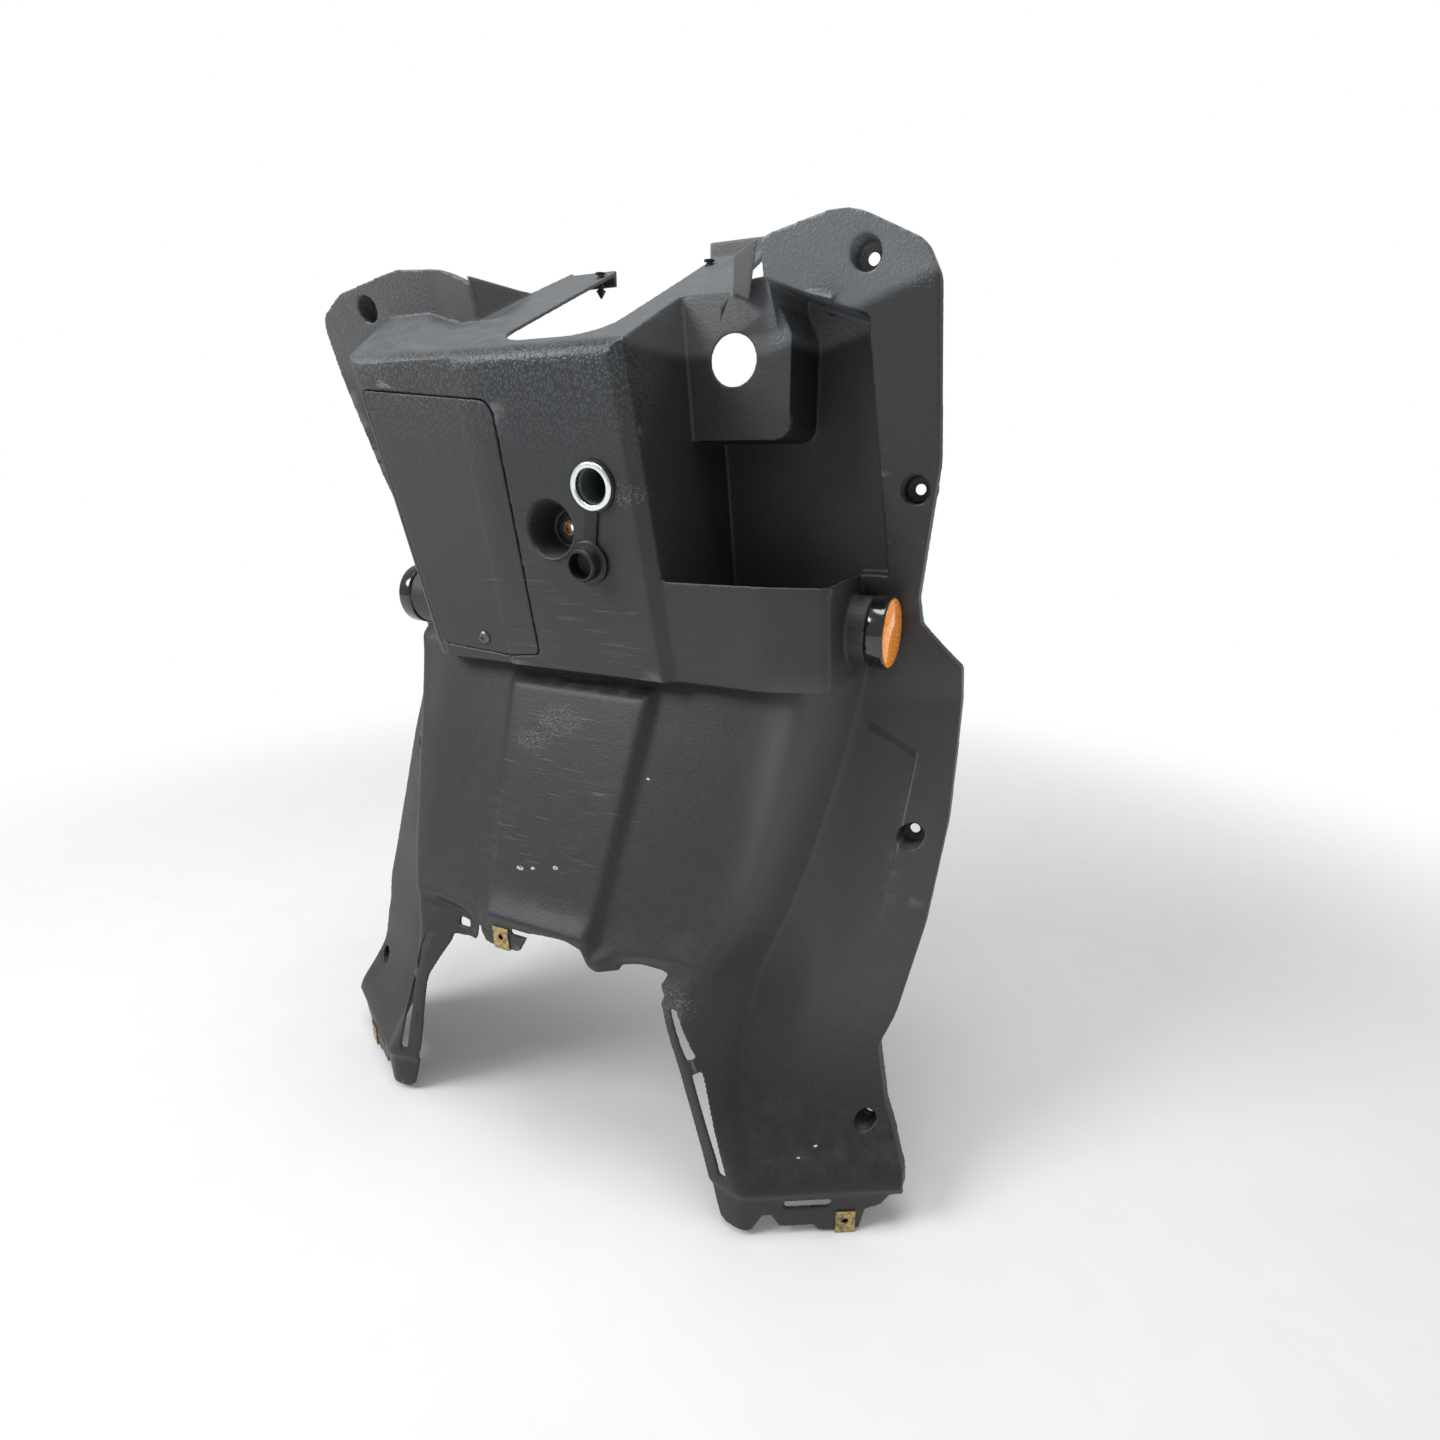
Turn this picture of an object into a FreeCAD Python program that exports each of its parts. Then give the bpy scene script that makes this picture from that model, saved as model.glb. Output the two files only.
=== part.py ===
import FreeCAD, Part
import os
from functools import lru_cache
from math import atan, atan2, cos, degrees, hypot, pi, sin, tan

V = FreeCAD.Vector

# Inner leg shield of a scooter, the panel that faces the rider.
# X is the rider's right, Y points forward, Z points up, all in millimetres.
# The shape is laid out from the mouth of the central fixing recess on the console face.
# When a piece is saved it moves back by the recess depth, so the origin is the rear face of the fixing bush.

# Moulding
wall = 2.6
rim_depth = 11.0
far = 400.0

# Console face, with a raised right part beside the feature line
face_lean = 0.13
face_step = 2.0
face_left_x = -132.3
face_left_lean = 0.17
face_right_x = 62.9
face_right_lean = 0.085
step_x = -55.0
step_lean = 0.045
console_bottom = -93.0
bevel_width = 8.0
bevel_depth = 6.0
corner_round = 15.0

# Ridge and the deck behind it
ridge_z = 102.0
deck_slope = 0.45
shoulder_slope = 0.60
shoulder_corners = [(-90.5, -9.0, 104.1), (-127.4, 48.6, 139.1), (-102.7, 56.4, 133.4)]
ridge_round = 9.0
steering_half = 39.0
steering_low = 60.0
steering_rear = 4.0
steering_front = 100.0
steering_round = 24.0
deck_start_y = 20.0
arm_round = 20.0
arm_tip_y = 148.0
arm_tip_inner = 37.0
arm_mid_y = 92.0
arm_tip_outer = 80.0
arm_lip = 10.0
arm_drop = 11.0
side_wall_z = 156.0
side_wall_over = 1.5

# Wing flange, a nearly upright plane on each side
wing_y0 = 86.2
wing_lean = 0.30
edge_x0 = 190.0
edge_lean = 0.06
join_z = -46.0

# Pocket on the right
pocket_floor = -64.0
pocket_back = 112.0
lip_z = -29.0
bin_mid_x = 136.0
bin_mid_y = 12.0
bin_mid_lean = 0.067
bin_end_x = 174.0
bin_end_y = 23.0
bin_end_lean = 0.10
bin_round = 8.0
bin_side_set = 20.0
horn_inner_x = 118.0
horn_left_x = 86.0
ceiling_left_z = 139.0
ceiling_right_x = 181.0
ceiling_right_z = 116.0

# Ignition lock housing inside the pocket
lock_face_y = 65.0
lock_right_x = 132.0
lock_bottom = 53.0
lock_round = 9.0
lock_x = 94.4
lock_z = 99.0
lock_bore_r = 15.0
lock_shelf_x = 97.0
lock_shelf_z = 112.0
lock_shelf_end = 124.0

# Raised kick pad and the lower panel
pad_top_z = -104.0
pad_top_half = 57.0
pad_taper = 0.0893
pad_height = 8.0
pad_foot = 9.0

# Screw cups in the wings
cup_r = 8.4
cup_depth = 15.0
screw_hole_r = 3.25
horn_hole = (180.8, 144.0)
wing_hole = (206.5, 24.3)
flank_hole = (218.0, -199.0)
leg_hole = (217.0, -374.0)
leg_cup_r = 6.2
leg_cup_depth = 9.0

# Central fixing: recess, rubber grommet and brass bush
recess_depth = 20.0
recess_mouth_r = 16.5
recess_floor_r = 12.5
recess_lip = 4.0
grommet_flange_r = 10.0
grommet_flange_t = 2.0
grommet_neck_r = 7.0
bush_r = 5.0
bush_bore_r = 3.2
fit_gap = 0.1

# Accessory socket and its rubber cap
socket_x = 36.0
socket_z = 26.6
socket_bore_r = 10.5
socket_tube_t = 1.3
socket_flange_r = 14.2
socket_flange_t = 2.4
socket_ease = 0.8
socket_length = 44.0
lock_nut_r = 16.5
lock_nut_t = 8.0
insulator_t = 8.0
insulator_seat = 2.0
insulator_step = 0.5
contact_r = 3.0
contact_length = 13.0
strap_t = 1.5
strap_width = 9.0
cap_x = 27.0
cap_z = -19.0
cap_r = 13.6
cap_plug_r = 10.2
cap_plug_t = 2.2
cap_plug_length = 11.0

# Battery cover in the left of the console face
cover_gap = 0.9
cover_ledge = 5.0
cover_outline = [(-139.0, 86.0), (-31.0, 76.0), (-23.0, -84.0), (-52.0, -87.5), (-113.5, -83.5)]
cover_rounds = [4.0, 12.0, 5.0, 30.0, 6.0]
cover_screw_x = -71.0
cover_screw_z = -76.0
cover_tab = 11.0
cover_tab_up = 9.0
screw_r = 2.4
screw_head_r = 4.6
screw_head_t = 1.8
screw_slot = 1.0
screw_length = 14.0
screw_clearance = 0.35

# Side reflectors
reflector_x = 186.0
reflector_y = 80.0
reflector_z = -62.0
boss_r = 22.4
boss_root_x = 130.0
reflector_r = 23.4
reflector_depth = 12.0
lens_r = 21.6
lens_seat = 6.0
lens_dome = 2.2
stud_r = 2.5
stud_length = 16.0
nut_r = 4.6
nut_t = 4.0

# Spring clip nuts on the lower flanges
clip_width = 13.0
clip_length = 17.0
clip_t = 0.9
clip_air = 0.15
clip_barrel_r = 4.0
clip_barrel_t = 4.0
clip_thread_r = 2.1
clip_hole_z = 9.4
floor_clip_x = 214.0
floor_clip_z = -445.1
tunnel_clip_x = -28.0
tunnel_clip_z = -280.1

# Trim pins under the arm tips
pin_x = 44.0
pin_y = 134.0
pin_r = 2.0
pin_head_r = 3.6
pin_length = 15.0

# Guide lines of the lower panel, from the top down: height, then x and y where both change
well_line = [(-82, 36.2), (-105, 27), (-252, -31.8), (-262, -37), (-270.5, -46), (-274, -43.5), (-330, -43)]
pad_line = [(-238, -34), (-248, -40.5), (-255.5, -47.5), (-259, -44.5), (-330, -43)]
edge_line = [(-82, 166, 41), (-96, 161, 36), (-141, 154, 22), (-183, 149, 7), (-237, 138, -14),
             (-275, 120, -36), (-300, 112, -45), (-350, 129, -46), (-395, 148, -46), (-411, 154, -48),
             (-415, 154, -45), (-450, 154, -45)]
crease_line = [(-82, 178.5, 103), (-92, 177.7, 99), (-110, 176, 94.5), (-150, 171.6, 80.5),
               (-190, 164.2, 62.8), (-230, 156.6, 45.3), (-270, 144, 22.7), (-300, 138, 7), (-335, 137, -9),
               (-360, 143, -18), (-395, 156, -36), (-411, 162, -43), (-415, 162, -40), (-450, 162, -40)]
flank_line = [(-70, 238, 108), (-82, 237, 115), (-92, 236.4, 120), (-112, 236.3, 123), (-150, 237.6, 113),
              (-200, 238, 91.5), (-250, 235, 70), (-295, 229, 46), (-325, 220.4, 25), (-345, 223, 25),
              (-370, 229, 27), (-395, 240, 10), (-411, 247, 5), (-415, 247, 8), (-450, 247, 8)]
flat_rows = [185, 60, -20, -32, -40, -48, -56, -64]
row_heights = [-80, -92, -99, -103, -107, -111, -117, -150, -187, -215, -238, -248, -255.5, -259, -263,
               -270.5, -274, -278, -290, -310, -335, -360, -382, -399, -407, -411, -415, -419, -432, -450]
strip_width = 25.0
strip_turn = 6.0
flank_over = 14.0

# Outline seen from the rider: x, z and the rounding of each corner, for the right and mirrored for the left
right_horn = [(horn_inner_x - 14, 96, 1), (horn_inner_x - 6, 136, 8), (horn_inner_x + 5, 157, 10),
              (172, 166.5, 40), (212, 147, 12), (219.0, 132, 10), (220.5, 40, 60)]
left_horn = [(horn_left_x, 96, 1), (horn_left_x, 153, 9), (horn_left_x + 20, 161.5, 25), (145, 164.5, 60),
             (203, 155, 22), (229, 141, 15), (229, 100, 30), (222, 30, 60)]
outline_half = [(208.5, -43, 14), (210.5, -60, 6), (236.0, -89, 5), (237, -110, 30), (239.5, -190, 80),
                (235, -255, 60), (226, -308, 30), (219, -326, 12), (227, -365, 20), (245, -403, 10),
                (247, -417, 1.2), (239, -417, 2), (234, -425, 3), (225, -428, 3), (222, -444, 2),
                (198, -444, 2), (196, -439, 1.2), (176, -439, 2), (171, -429, 3), (166, -429, 3),
                (160, -441, 3), (138, -442, 8), (126, -400, 40), (108, -330, 60)]
broken_end = [(95, -297, 1), (92, -291, 1), (94, -287, 0.8), (90, -281, 1), (93, -276, 1), (94, -273, 0.6),
              (62, -273.5, 0.6), (60, -278, 1.5), (44, -277, 9), (37, -263, 3), (24, -259, 6)]
whole_end = [(86, -296, 4), (84, -290, 2), (62, -288, 2), (56, -272, 4), (47, -268, 2), (44, -279, 2),
             (14, -279, 3), (4, -262, 6)]

# Where the wings have a return rim, as x and z, outside a start that differs on each side
rim_zone = [(300, 200), (300, -411), (236, -411), (190, -330), (200, 100)]
rim_start_z = 120.0

# Slots as x and z corners in the leg strips and foot flanges; the small ones as left, right, low and high
strip_slots = [[(100, -292), (105, -291), (119, -322), (114, -323)],
               [(118, -332), (123, -331), (143, -402), (138, -403)]]
foot_slots = [[(178, -424), (178, -418.5), (206, -418.5), (204, -424)]]
small_slots = [(-20, 6, -267, -262.5), (-80, -70, -283, -277)]
slot_round = 1.0


# Small builders

def prism(points, path):
    """Straight-sided solid on a flat outline of points."""
    return Part.Face(Part.makePolygon(points + points[:1])).extrude(path)


def across(points, x0=-far, x1=far):
    """Solid from an outline of (y, z) points, drawn out along X."""
    return prism([V(x0, y, z) for y, z in points], V(x1 - x0, 0, 0))


def along(points, y0=-far, y1=far):
    """Solid from an outline of (x, z) points, drawn out along Y."""
    return prism([V(x, y0, z) for x, z in points], V(0, y1 - y0, 0))


def upright(points, z0=-far, z1=far):
    """Solid from an outline of (x, y) points, drawn out along Z."""
    return prism([V(x, y, z0) for x, y in points], V(0, 0, z1 - z0))


def rounded(points, radii):
    """Closed wire through the points with each corner rounded by its own radius."""
    count = len(points)
    starts, ends, middles = [], [], []
    for i, corner in enumerate(points):
        back = points[i - 1] - corner
        on = points[(i + 1) % count] - corner
        half = back.getAngle(on) / 2
        run = min(radii[i] / tan(half), 0.48 * back.Length, 0.48 * on.Length)
        radius = run * tan(half)
        back.normalize()
        on.normalize()
        inward = back + on
        inward.normalize()
        starts.append(corner + back * run)
        ends.append(corner + on * run)
        middles.append(corner + inward * (radius / sin(half) - radius))
    edges = []
    for i in range(count):
        edges.append(Part.Arc(starts[i], middles[i], ends[i]).toShape())
        edges.append(Part.LineSegment(ends[i], starts[(i + 1) % count]).toShape())
    return Part.Wire(edges)


def tube(r_outer, r_inner, y0, y1):
    """Plain ring about the Y axis."""
    ring = Part.makeCylinder(r_outer, y1 - y0, V(0, y0, 0), V(0, 1, 0))
    return ring.cut(Part.makeCylinder(r_inner, y1 - y0, V(0, y0, 0), V(0, 1, 0)))


def rod(radius, y0, y1):
    """Plain cylinder about the Y axis."""
    return Part.makeCylinder(radius, y1 - y0, V(0, y0, 0), V(0, 1, 0))


def turned(profile):
    """Solid of revolution about the Y axis from (radius, y) points."""
    points = [V(r, y, 0) for r, y in profile]
    return Part.Face(Part.makePolygon(points + points[:1])).revolve(V(0, 0, 0), V(0, 1, 0), 360)


def mirrored(shape):
    """The same shape on the other side of the middle plane."""
    return shape.mirror(V(0, 0, 0), V(1, 0, 0))


def on_face(shape, x, z, sunk=0.0):
    """Turn a shape made about the Y axis square to the leaning console face and put it at x, z."""
    moved = shape.copy()
    moved.rotate(V(0, 0, 0), V(1, 0, 0), degrees(atan(face_lean)))
    moved.translate(V(x, face_y(z) + sunk, z))
    return moved


# Lines and planes of the moulding

def face_y(z):
    return -face_lean * z


def wing_y(z):
    return wing_y0 - wing_lean * z


def deck_z(y, slope=deck_slope):
    return ridge_z + slope * (y - face_y(ridge_z))


def edge_x(z):
    """Inner edge of the wing flange, where the pocket and the left box start."""
    return edge_x0 - edge_lean * z


def pocket_left(z):
    """Left wall of the pocket, beside the bevel of the console face."""
    return face_right_x - face_right_lean * z + bevel_width


def read_line(line, z):
    """Values of a guide line at height z, straight between its points."""
    if z >= line[0][0]:
        return line[0][1:]
    for upper, lower in zip(line, line[1:]):
        if z >= lower[0]:
            share = (upper[0] - z) / (upper[0] - lower[0])
            return tuple(a + share * (b - a) for a, b in zip(upper[1:], lower[1:]))
    return line[-1][1:]


# Lower panel, wings and legs as one smooth skin

def skin_row(z):
    """Half a row of control points, from the middle out past the wing edge."""
    pad_half = pad_top_half + pad_taper * (z - pad_top_z)
    well_y, = read_line(well_line, z)
    pad_y = well_y - pad_height
    if z > pad_top_z:
        pad_y = well_y
    if z < pad_line[0][0]:
        pad_y, = read_line(pad_line, z)
    rim_x, rim_y = read_line(edge_line, z)
    crease_x, crease_y = read_line(crease_line, z)
    tip_x, tip_y = read_line(flank_line, z)
    start = pad_half + pad_foot
    row = [(0, pad_y), (pad_half - 8, pad_y), (pad_half - 1, pad_y), (pad_half + 3, well_y), (start, well_y)]
    if z > well_line[4][0]:
        for share in (0.5, 0.88):
            row.append((start + share * (rim_x - start), well_y + share * (rim_y - well_y)))
    else:
        row.append((rim_x - 2 * strip_width, rim_y + 2 * strip_turn))
        row.append((rim_x - strip_width / 2, rim_y + strip_turn / 2))
    row.append((rim_x, rim_y))
    row.append((rim_x + 0.93 * (crease_x - rim_x), rim_y + 0.93 * (crease_y - rim_y)))
    row.append((crease_x, crease_y))
    slope = (tip_y - crease_y) / (tip_x - crease_x)
    for x in (crease_x + 4, (crease_x + tip_x) / 2, tip_x + flank_over):
        row.append((x, crease_y + slope * (x - crease_x)))
    return [V(x, y, z) for x, y in row]


def skin_poles():
    """Control points of the rider's side, row by row from the horns down to the feet."""
    rows = [skin_row(z) for z in row_heights]
    flat = [[V(p.x, wing_y(z), z) for p in rows[0]] for z in flat_rows]
    grid = []
    for row in flat + rows:
        left = [V(-p.x, p.y, p.z) for p in reversed(row[1:])]
        grid.append(left + row)
    return grid


def pushed(grid, distance):
    """The control points moved square to their surface, towards the front of the scooter."""
    moved = []
    last_row, last_col = len(grid) - 1, len(grid[0]) - 1
    for i, row in enumerate(grid):
        line = []
        for j, point in enumerate(row):
            down = grid[min(i + 1, last_row)][j] - grid[max(i - 1, 0)][j]
            right = row[min(j + 1, last_col)] - row[max(j - 1, 0)]
            normal = down.cross(right)
            normal.normalize()
            if normal.y < 0:
                normal = normal * -1
            line.append(point + normal * distance)
        moved.append(line)
    return moved


def smooth_surface(grid):
    """Cubic surface drawn by a grid of control points, ending on its outer rows."""
    def knots(count):
        spans = count - 3
        return [4] + [1] * (spans - 1) + [4], [float(k) for k in range(spans + 1)]
    mults_u, knots_u = knots(len(grid))
    mults_v, knots_v = knots(len(grid[0]))
    surface = Part.BSplineSurface()
    surface.buildFromPolesMultsKnots(grid, mults_u, mults_v, knots_u, knots_v, False, False, 3, 3)
    return surface


def skin_layer(near, deep):
    """Closed layer of the skin between two depths under the rider's side."""
    grid = skin_poles()
    front = smooth_surface(pushed(grid, near))
    back = smooth_surface(pushed(grid, deep))
    faces = [front.toShape(), back.toShape()]
    u0, u1, v0, v1 = front.bounds()
    for u in (u0, u1):
        faces.append(Part.makeRuledSurface(front.uIso(u).toShape(), back.uIso(u).toShape()))
    for v in (v0, v1):
        faces.append(Part.makeRuledSurface(front.vIso(v).toShape(), back.vIso(v).toShape()))
    shell = Part.makeShell(faces)
    shell.sewShape()
    solid = Part.makeSolid(shell)
    if solid.Volume < 0:
        solid.reverse()
    return solid


@lru_cache(maxsize=None)
def outline_prism(inset=0.0):
    """The shield's outline drawn out along Y; the left half is whole, the right inner end is broken off."""
    left = [(-x, z, r) for x, z, r in reversed(left_horn + outline_half + whole_end)]
    corners = right_horn + outline_half + broken_end + left
    wire = rounded([V(x, -far, z) for x, z, r in corners], [r for x, z, r in corners])
    if inset:
        wire = wire.makeOffset2D(-inset)
    return Part.Face(wire).extrude(V(0, 2 * far, 0))


def rim_ring():
    """Upright band just inside the outer edges of both wings."""
    ring = outline_prism().cut(outline_prism(wall))
    sides = []
    for inner_x in (horn_inner_x + 8, horn_left_x - wall):
        sides.append(along([(inner_x, rim_zone[0][1])] + rim_zone + [(inner_x, rim_start_z)]))
    return ring.common(sides[0].fuse(mirrored(sides[1])))


def wing_slab(depth):
    """Flat upper part of the wings, down to the height where the lower skin takes over."""
    low, high = wing_y(join_z), wing_y(far)
    return across([(low, join_z), (high, far), (high + depth, far), (low + depth, join_z)])


def upper_wings():
    """Flat wings above the joining height, with their return rims."""
    plate = wing_slab(wall * hypot(1, wing_lean)).common(outline_prism())
    return plate.fuse(wing_slab(rim_depth).common(rim_ring()))


def lower_skin():
    """Smooth lower panel, flanks and legs below the joining height, with their return rims."""
    below = along([(-far, -2 * far), (far, -2 * far), (far, join_z), (-far, join_z)])
    layer = skin_layer(0, wall).common(outline_prism())
    band = smooth_surface(skin_poles()).toShape().extrude(V(0, rim_depth, 0)).common(rim_ring())
    return layer.fuse(band).common(below)


# Console, left box and the bin under the pocket

def console_points(z):
    """Corners of the console block at one height, round from the front left."""
    fy, wy, ex = face_y(z), wing_y(z), edge_x(z) - bin_side_set
    sx = step_x + step_lean * -z
    left_x = face_left_x - face_left_lean * z
    right_x = face_right_x - face_right_lean * z
    return [(-ex, wy + wall), (-ex, wy), (left_x, fy + face_step), (sx, fy + face_step), (sx + face_step, fy),
            (right_x, fy), (pocket_left(z), fy + bevel_depth), (bin_mid_x, bin_mid_y - bin_mid_lean * z),
            (bin_end_x, bin_end_y - bin_end_lean * z), (ex, wy), (ex, wy + wall)]


console_rounds = [0.5, 6.0, corner_round, 0.8, 0.8, 2.5, 3.0, 60.0, bin_round, 6.0, 0.5]


def shrunk(points, distances):
    """Outline moved inwards, each side by its own distance."""
    count = len(points)
    lines = []
    for i in range(count):
        (x0, y0), (x1, y1) = points[i], points[(i + 1) % count]
        size = hypot(x1 - x0, y1 - y0)
        nx, ny = -(y1 - y0) / size, (x1 - x0) / size
        lines.append((nx, ny, nx * x0 + ny * y0 + distances[i]))
    corners = []
    for i in range(count):
        (a, b, c), (d, e, f) = lines[i - 1], lines[i]
        det = a * e - b * d
        corners.append(((c * e - b * f) / det, (a * f - c * d) / det))
    return corners


def ridge_profile(slope, inset):
    """Side view of what stays below the rounded ridge and the deck."""
    top = ridge_z - ridge_round
    run = hypot(1, slope)
    start = V(0, face_y(top) + inset, top)
    end = V(0, face_y(ridge_z) + ridge_round, deck_z(face_y(ridge_z) + ridge_round, slope) - inset * run)
    corner = V(0, face_y(ridge_z) + inset, deck_z(face_y(ridge_z) + inset, slope) - inset * run)
    curve = Part.BezierCurve()
    curve.setPoles([start, corner, end])
    front = V(0, far, deck_z(far, slope) - inset * run)
    rest = Part.makePolygon([end, front, V(0, far, -far), V(0, -far, -far), V(0, -far, top), start])
    return Part.Wire([curve.toShape()] + rest.Edges)


def left_of_shoulder(inset):
    """Space on the left of the slanted facet between the shoulder and the deck."""
    low, top, foot = [V(*corner) for corner in shoulder_corners]
    rise, run = (top - low) * 8, (foot - low) * 8
    normal = rise.cross(run)
    normal.normalize()
    corner = low - (rise + run) * 0.5 - V(inset / abs(normal.x), 0, 0)
    return prism([corner, corner + rise, corner + rise + run, corner + run], V(-2 * far, 0, 0))


@lru_cache(maxsize=None)
def under_deck(inset=0.0):
    """Everything below the deck, with the higher shoulder on the left."""
    parts = []
    for slope in (shoulder_slope, deck_slope):
        face = Part.Face(ridge_profile(slope, inset))
        face.translate(V(-far, 0, 0))
        parts.append(face.extrude(V(2 * far, 0, 0)))
    return parts[0].common(left_of_shoulder(inset)).fuse(parts[1])


@lru_cache(maxsize=None)
def console_block(inset=0.0, forward=0.0):
    """Console, box and bin as one block, inset from its outside and drawn out forward."""
    wires = []
    low = console_bottom + inset
    for z in (low, 2 * far / 5):
        points = console_points(z)
        distances = [inset] * (len(points) - 1) + [-forward if forward else inset]
        if inset or forward:
            points = shrunk(points, distances)
        radii = [max(r - inset, 0.4) for r in console_rounds]
        wires.append(rounded([V(x, y, z) for x, y in points], radii))
    return Part.makeLoft(wires, True, True).common(under_deck(inset))


def rear_of_wing(depth=0.0):
    """Space on the rider's side of the wing plane, moved forward by a depth."""
    return across([(wing_y(-far) + depth, -far), (wing_y(far) + depth, far), (-far, far), (-far, -far)])


def pocket_outline(grow=0.0):
    """Pocket seen from the rider, as (x, z) corners."""
    low, high = pocket_floor - grow, ceiling_left_z + grow
    return [(pocket_left(low) - grow, low), (pocket_left(high) - grow, high), (horn_inner_x, high),
            (ceiling_right_x + grow, ceiling_right_z + grow), (edge_x(low) + grow - wall, low)]


def lock_housing(inset=0.0):
    """Block that carries the ignition lock at the back of the pocket, its upper right corner sloped."""
    left = pocket_left(lock_z) - 3 * wall - 2 * inset
    right, low = lock_right_x - inset, lock_bottom + inset
    slope_x, slope_z = horn_inner_x - inset, ceiling_left_z - inset
    corners = [(left, low), (right, low), (right, lock_shelf_z), (slope_x, slope_z), (slope_x, far / 2),
               (left, far / 2)]
    rounds = [1, lock_round, 4, 1, 1, 1]
    wire = rounded([V(x, lock_face_y + inset, z) for x, z in corners], rounds)
    return Part.Face(wire).extrude(V(0, far / 2, 0))


def lock_shelf(inset=0.0):
    """Corner that leans back from the top of the lock housing to the right horn."""
    run = inset * 1.4
    horn_y = wing_y(ceiling_left_z) + wall / 2 + inset
    end_x = lock_shelf_end - inset
    plan = [(lock_shelf_x + run, lock_face_y + inset), (horn_inner_x + 4 + run, horn_y), (end_x, horn_y),
            (end_x, far / 2), (lock_shelf_x + run, far / 2)]
    side = [(lock_face_y + inset, lock_shelf_z), (horn_y, ceiling_left_z), (horn_y, far / 2),
            (far / 2, far / 2), (far / 2, lock_shelf_z)]
    return upright(plan, 0, far).common(across(side))


def shelf_corner():
    """Where the lock shelf meets the wall beside the deck, in plan, in the middle of that wall."""
    return lock_shelf_x - wall / 2, lock_face_y


def pocket_space():
    """Hollow of the pocket, with the lock housing standing into it."""
    low = along(pocket_outline(), -far, pocket_back).cut(lock_housing()).cut(lock_shelf())
    behind_bin = console_block(wall, far / 2)
    below_lip = low.common(along([(0, -far), (far, -far), (far, lip_z), (0, lip_z)])).common(behind_bin)
    above_lip = low.cut(along([(0, -far), (far, -far), (far, lip_z), (0, lip_z)]))
    sky = upright([(0, -far), (horn_inner_x + 4, -far), (horn_inner_x + 4, wing_y(lock_z)), shelf_corner(),
                   (0, lock_face_y)], lock_z, far / 2)
    sky = sky.common(along([(pocket_left(-far), -far), (far, -far), (far, far), (pocket_left(far), far)]))
    return below_lip.fuse([above_lip, sky])


def pocket_tub():
    """Walls of the pocket before its hollow is taken out."""
    block = along(pocket_outline(wall), -far, pocket_back + wall)
    front = along([(-far, -far), (far, -far), (far, far), (-far, far)]).cut(rear_of_wing(wall / 2))
    inside = console_block().fuse(front)
    corner = shelf_corner()
    beside_deck = upright([(corner[0], far), corner, (horn_inner_x + 4, wing_y(ceiling_left_z)),
                           (horn_inner_x + 4, -far), (far, -far), (far, far)])
    covered = under_deck().fuse(beside_deck)
    below_lip = along([(0, -far), (far, -far), (far, lip_z - wall), (0, lip_z - wall)])
    beside_bin = below_lip.cut(console_block(0, far / 2))
    return block.common(inside).common(covered).cut(beside_bin)


# Deck, arms and cups

def deck_edge():
    """Right edge of the deck in plan, from the horn to the arm tip."""
    return [(lock_shelf_x, lock_face_y), (arm_tip_outer + 8, arm_mid_y), (arm_tip_outer, arm_tip_y)]


def left_edge():
    """Left edge of the deck in plan, from the left horn to the arm tip."""
    return [(-horn_left_x, wing_y(side_wall_z)), (-horn_left_x, arm_mid_y), (-arm_tip_outer, arm_tip_y)]


def deck_plate():
    """Sloping deck in front of the console with the steering opening and two arms."""
    inner = pocket_left(lock_z) - wall
    right = [(inner, deck_start_y), (inner, lock_face_y)] + deck_edge()
    plate = upright(right + left_edge()[::-1] + [(-horn_left_x, deck_start_y)], 0, far)
    depth = wall * hypot(1, deck_slope)
    low, high = deck_z(-far), deck_z(far)
    slab = across([(-far, low), (far, high), (far, high - depth), (-far, low - depth)])
    return plate.common(slab)


def steering_opening():
    """Upright hole for the steering column, open towards the front."""
    half, rear = steering_half, steering_rear
    front = steering_front
    corners = [(-half, rear), (half, rear), (half, front), (arm_tip_inner, far), (-arm_tip_inner, far),
               (-half, front)]
    rounds = [steering_round, steering_round, arm_round, 1, 1, arm_round]
    wire = rounded([V(x, y, steering_low) for x, y in corners], rounds)
    return Part.Face(wire).extrude(V(0, 0, far))


def edge_wall(line, inward, top):
    """Upright strip along one edge of the deck, up to a top line of (y, z) points."""
    inner = [(x + inward, y) for x, y in line]
    foot = [(arm_tip_y + 1, deck_z(arm_tip_y) - wall), (0, deck_z(0) - wall)]
    return upright(line + inner[::-1], 0, far).common(across(top + foot)).cut(rear_of_wing(wall / 2))


def right_wall():
    """Wall that closes the deck beside the right horn."""
    line = [(horn_inner_x + 4, wing_y(side_wall_z))] + deck_edge()
    top = [(0, side_wall_z), (lock_face_y, side_wall_z), (arm_mid_y, deck_z(arm_mid_y) + side_wall_over),
           (arm_tip_y + 1, deck_z(arm_tip_y + 1) + side_wall_over)]
    return edge_wall(line, -wall, top)


def left_wall():
    """Wall that closes the deck beside the left horn, level until the deck has risen to it."""
    level_y = (side_wall_z - side_wall_over - deck_z(0)) / deck_slope
    top = [(0, side_wall_z), (level_y, side_wall_z), (arm_tip_y + 1, deck_z(arm_tip_y + 1) + side_wall_over)]
    return edge_wall(left_edge(), wall, top)


def arm_ends():
    """Upright lip across the end of the right arm and the skirt under the end of the left one."""
    width = arm_tip_outer - arm_tip_inner
    deck = deck_z(arm_tip_y)
    lip = Part.makeBox(width, wall, arm_lip + 2 * wall, V(arm_tip_inner, arm_tip_y - wall, deck - 2 * wall))
    skirt = Part.makeBox(width, wall, arm_drop, V(-arm_tip_outer, arm_tip_y - wall, deck - arm_drop))
    return [lip, skirt]


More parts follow.
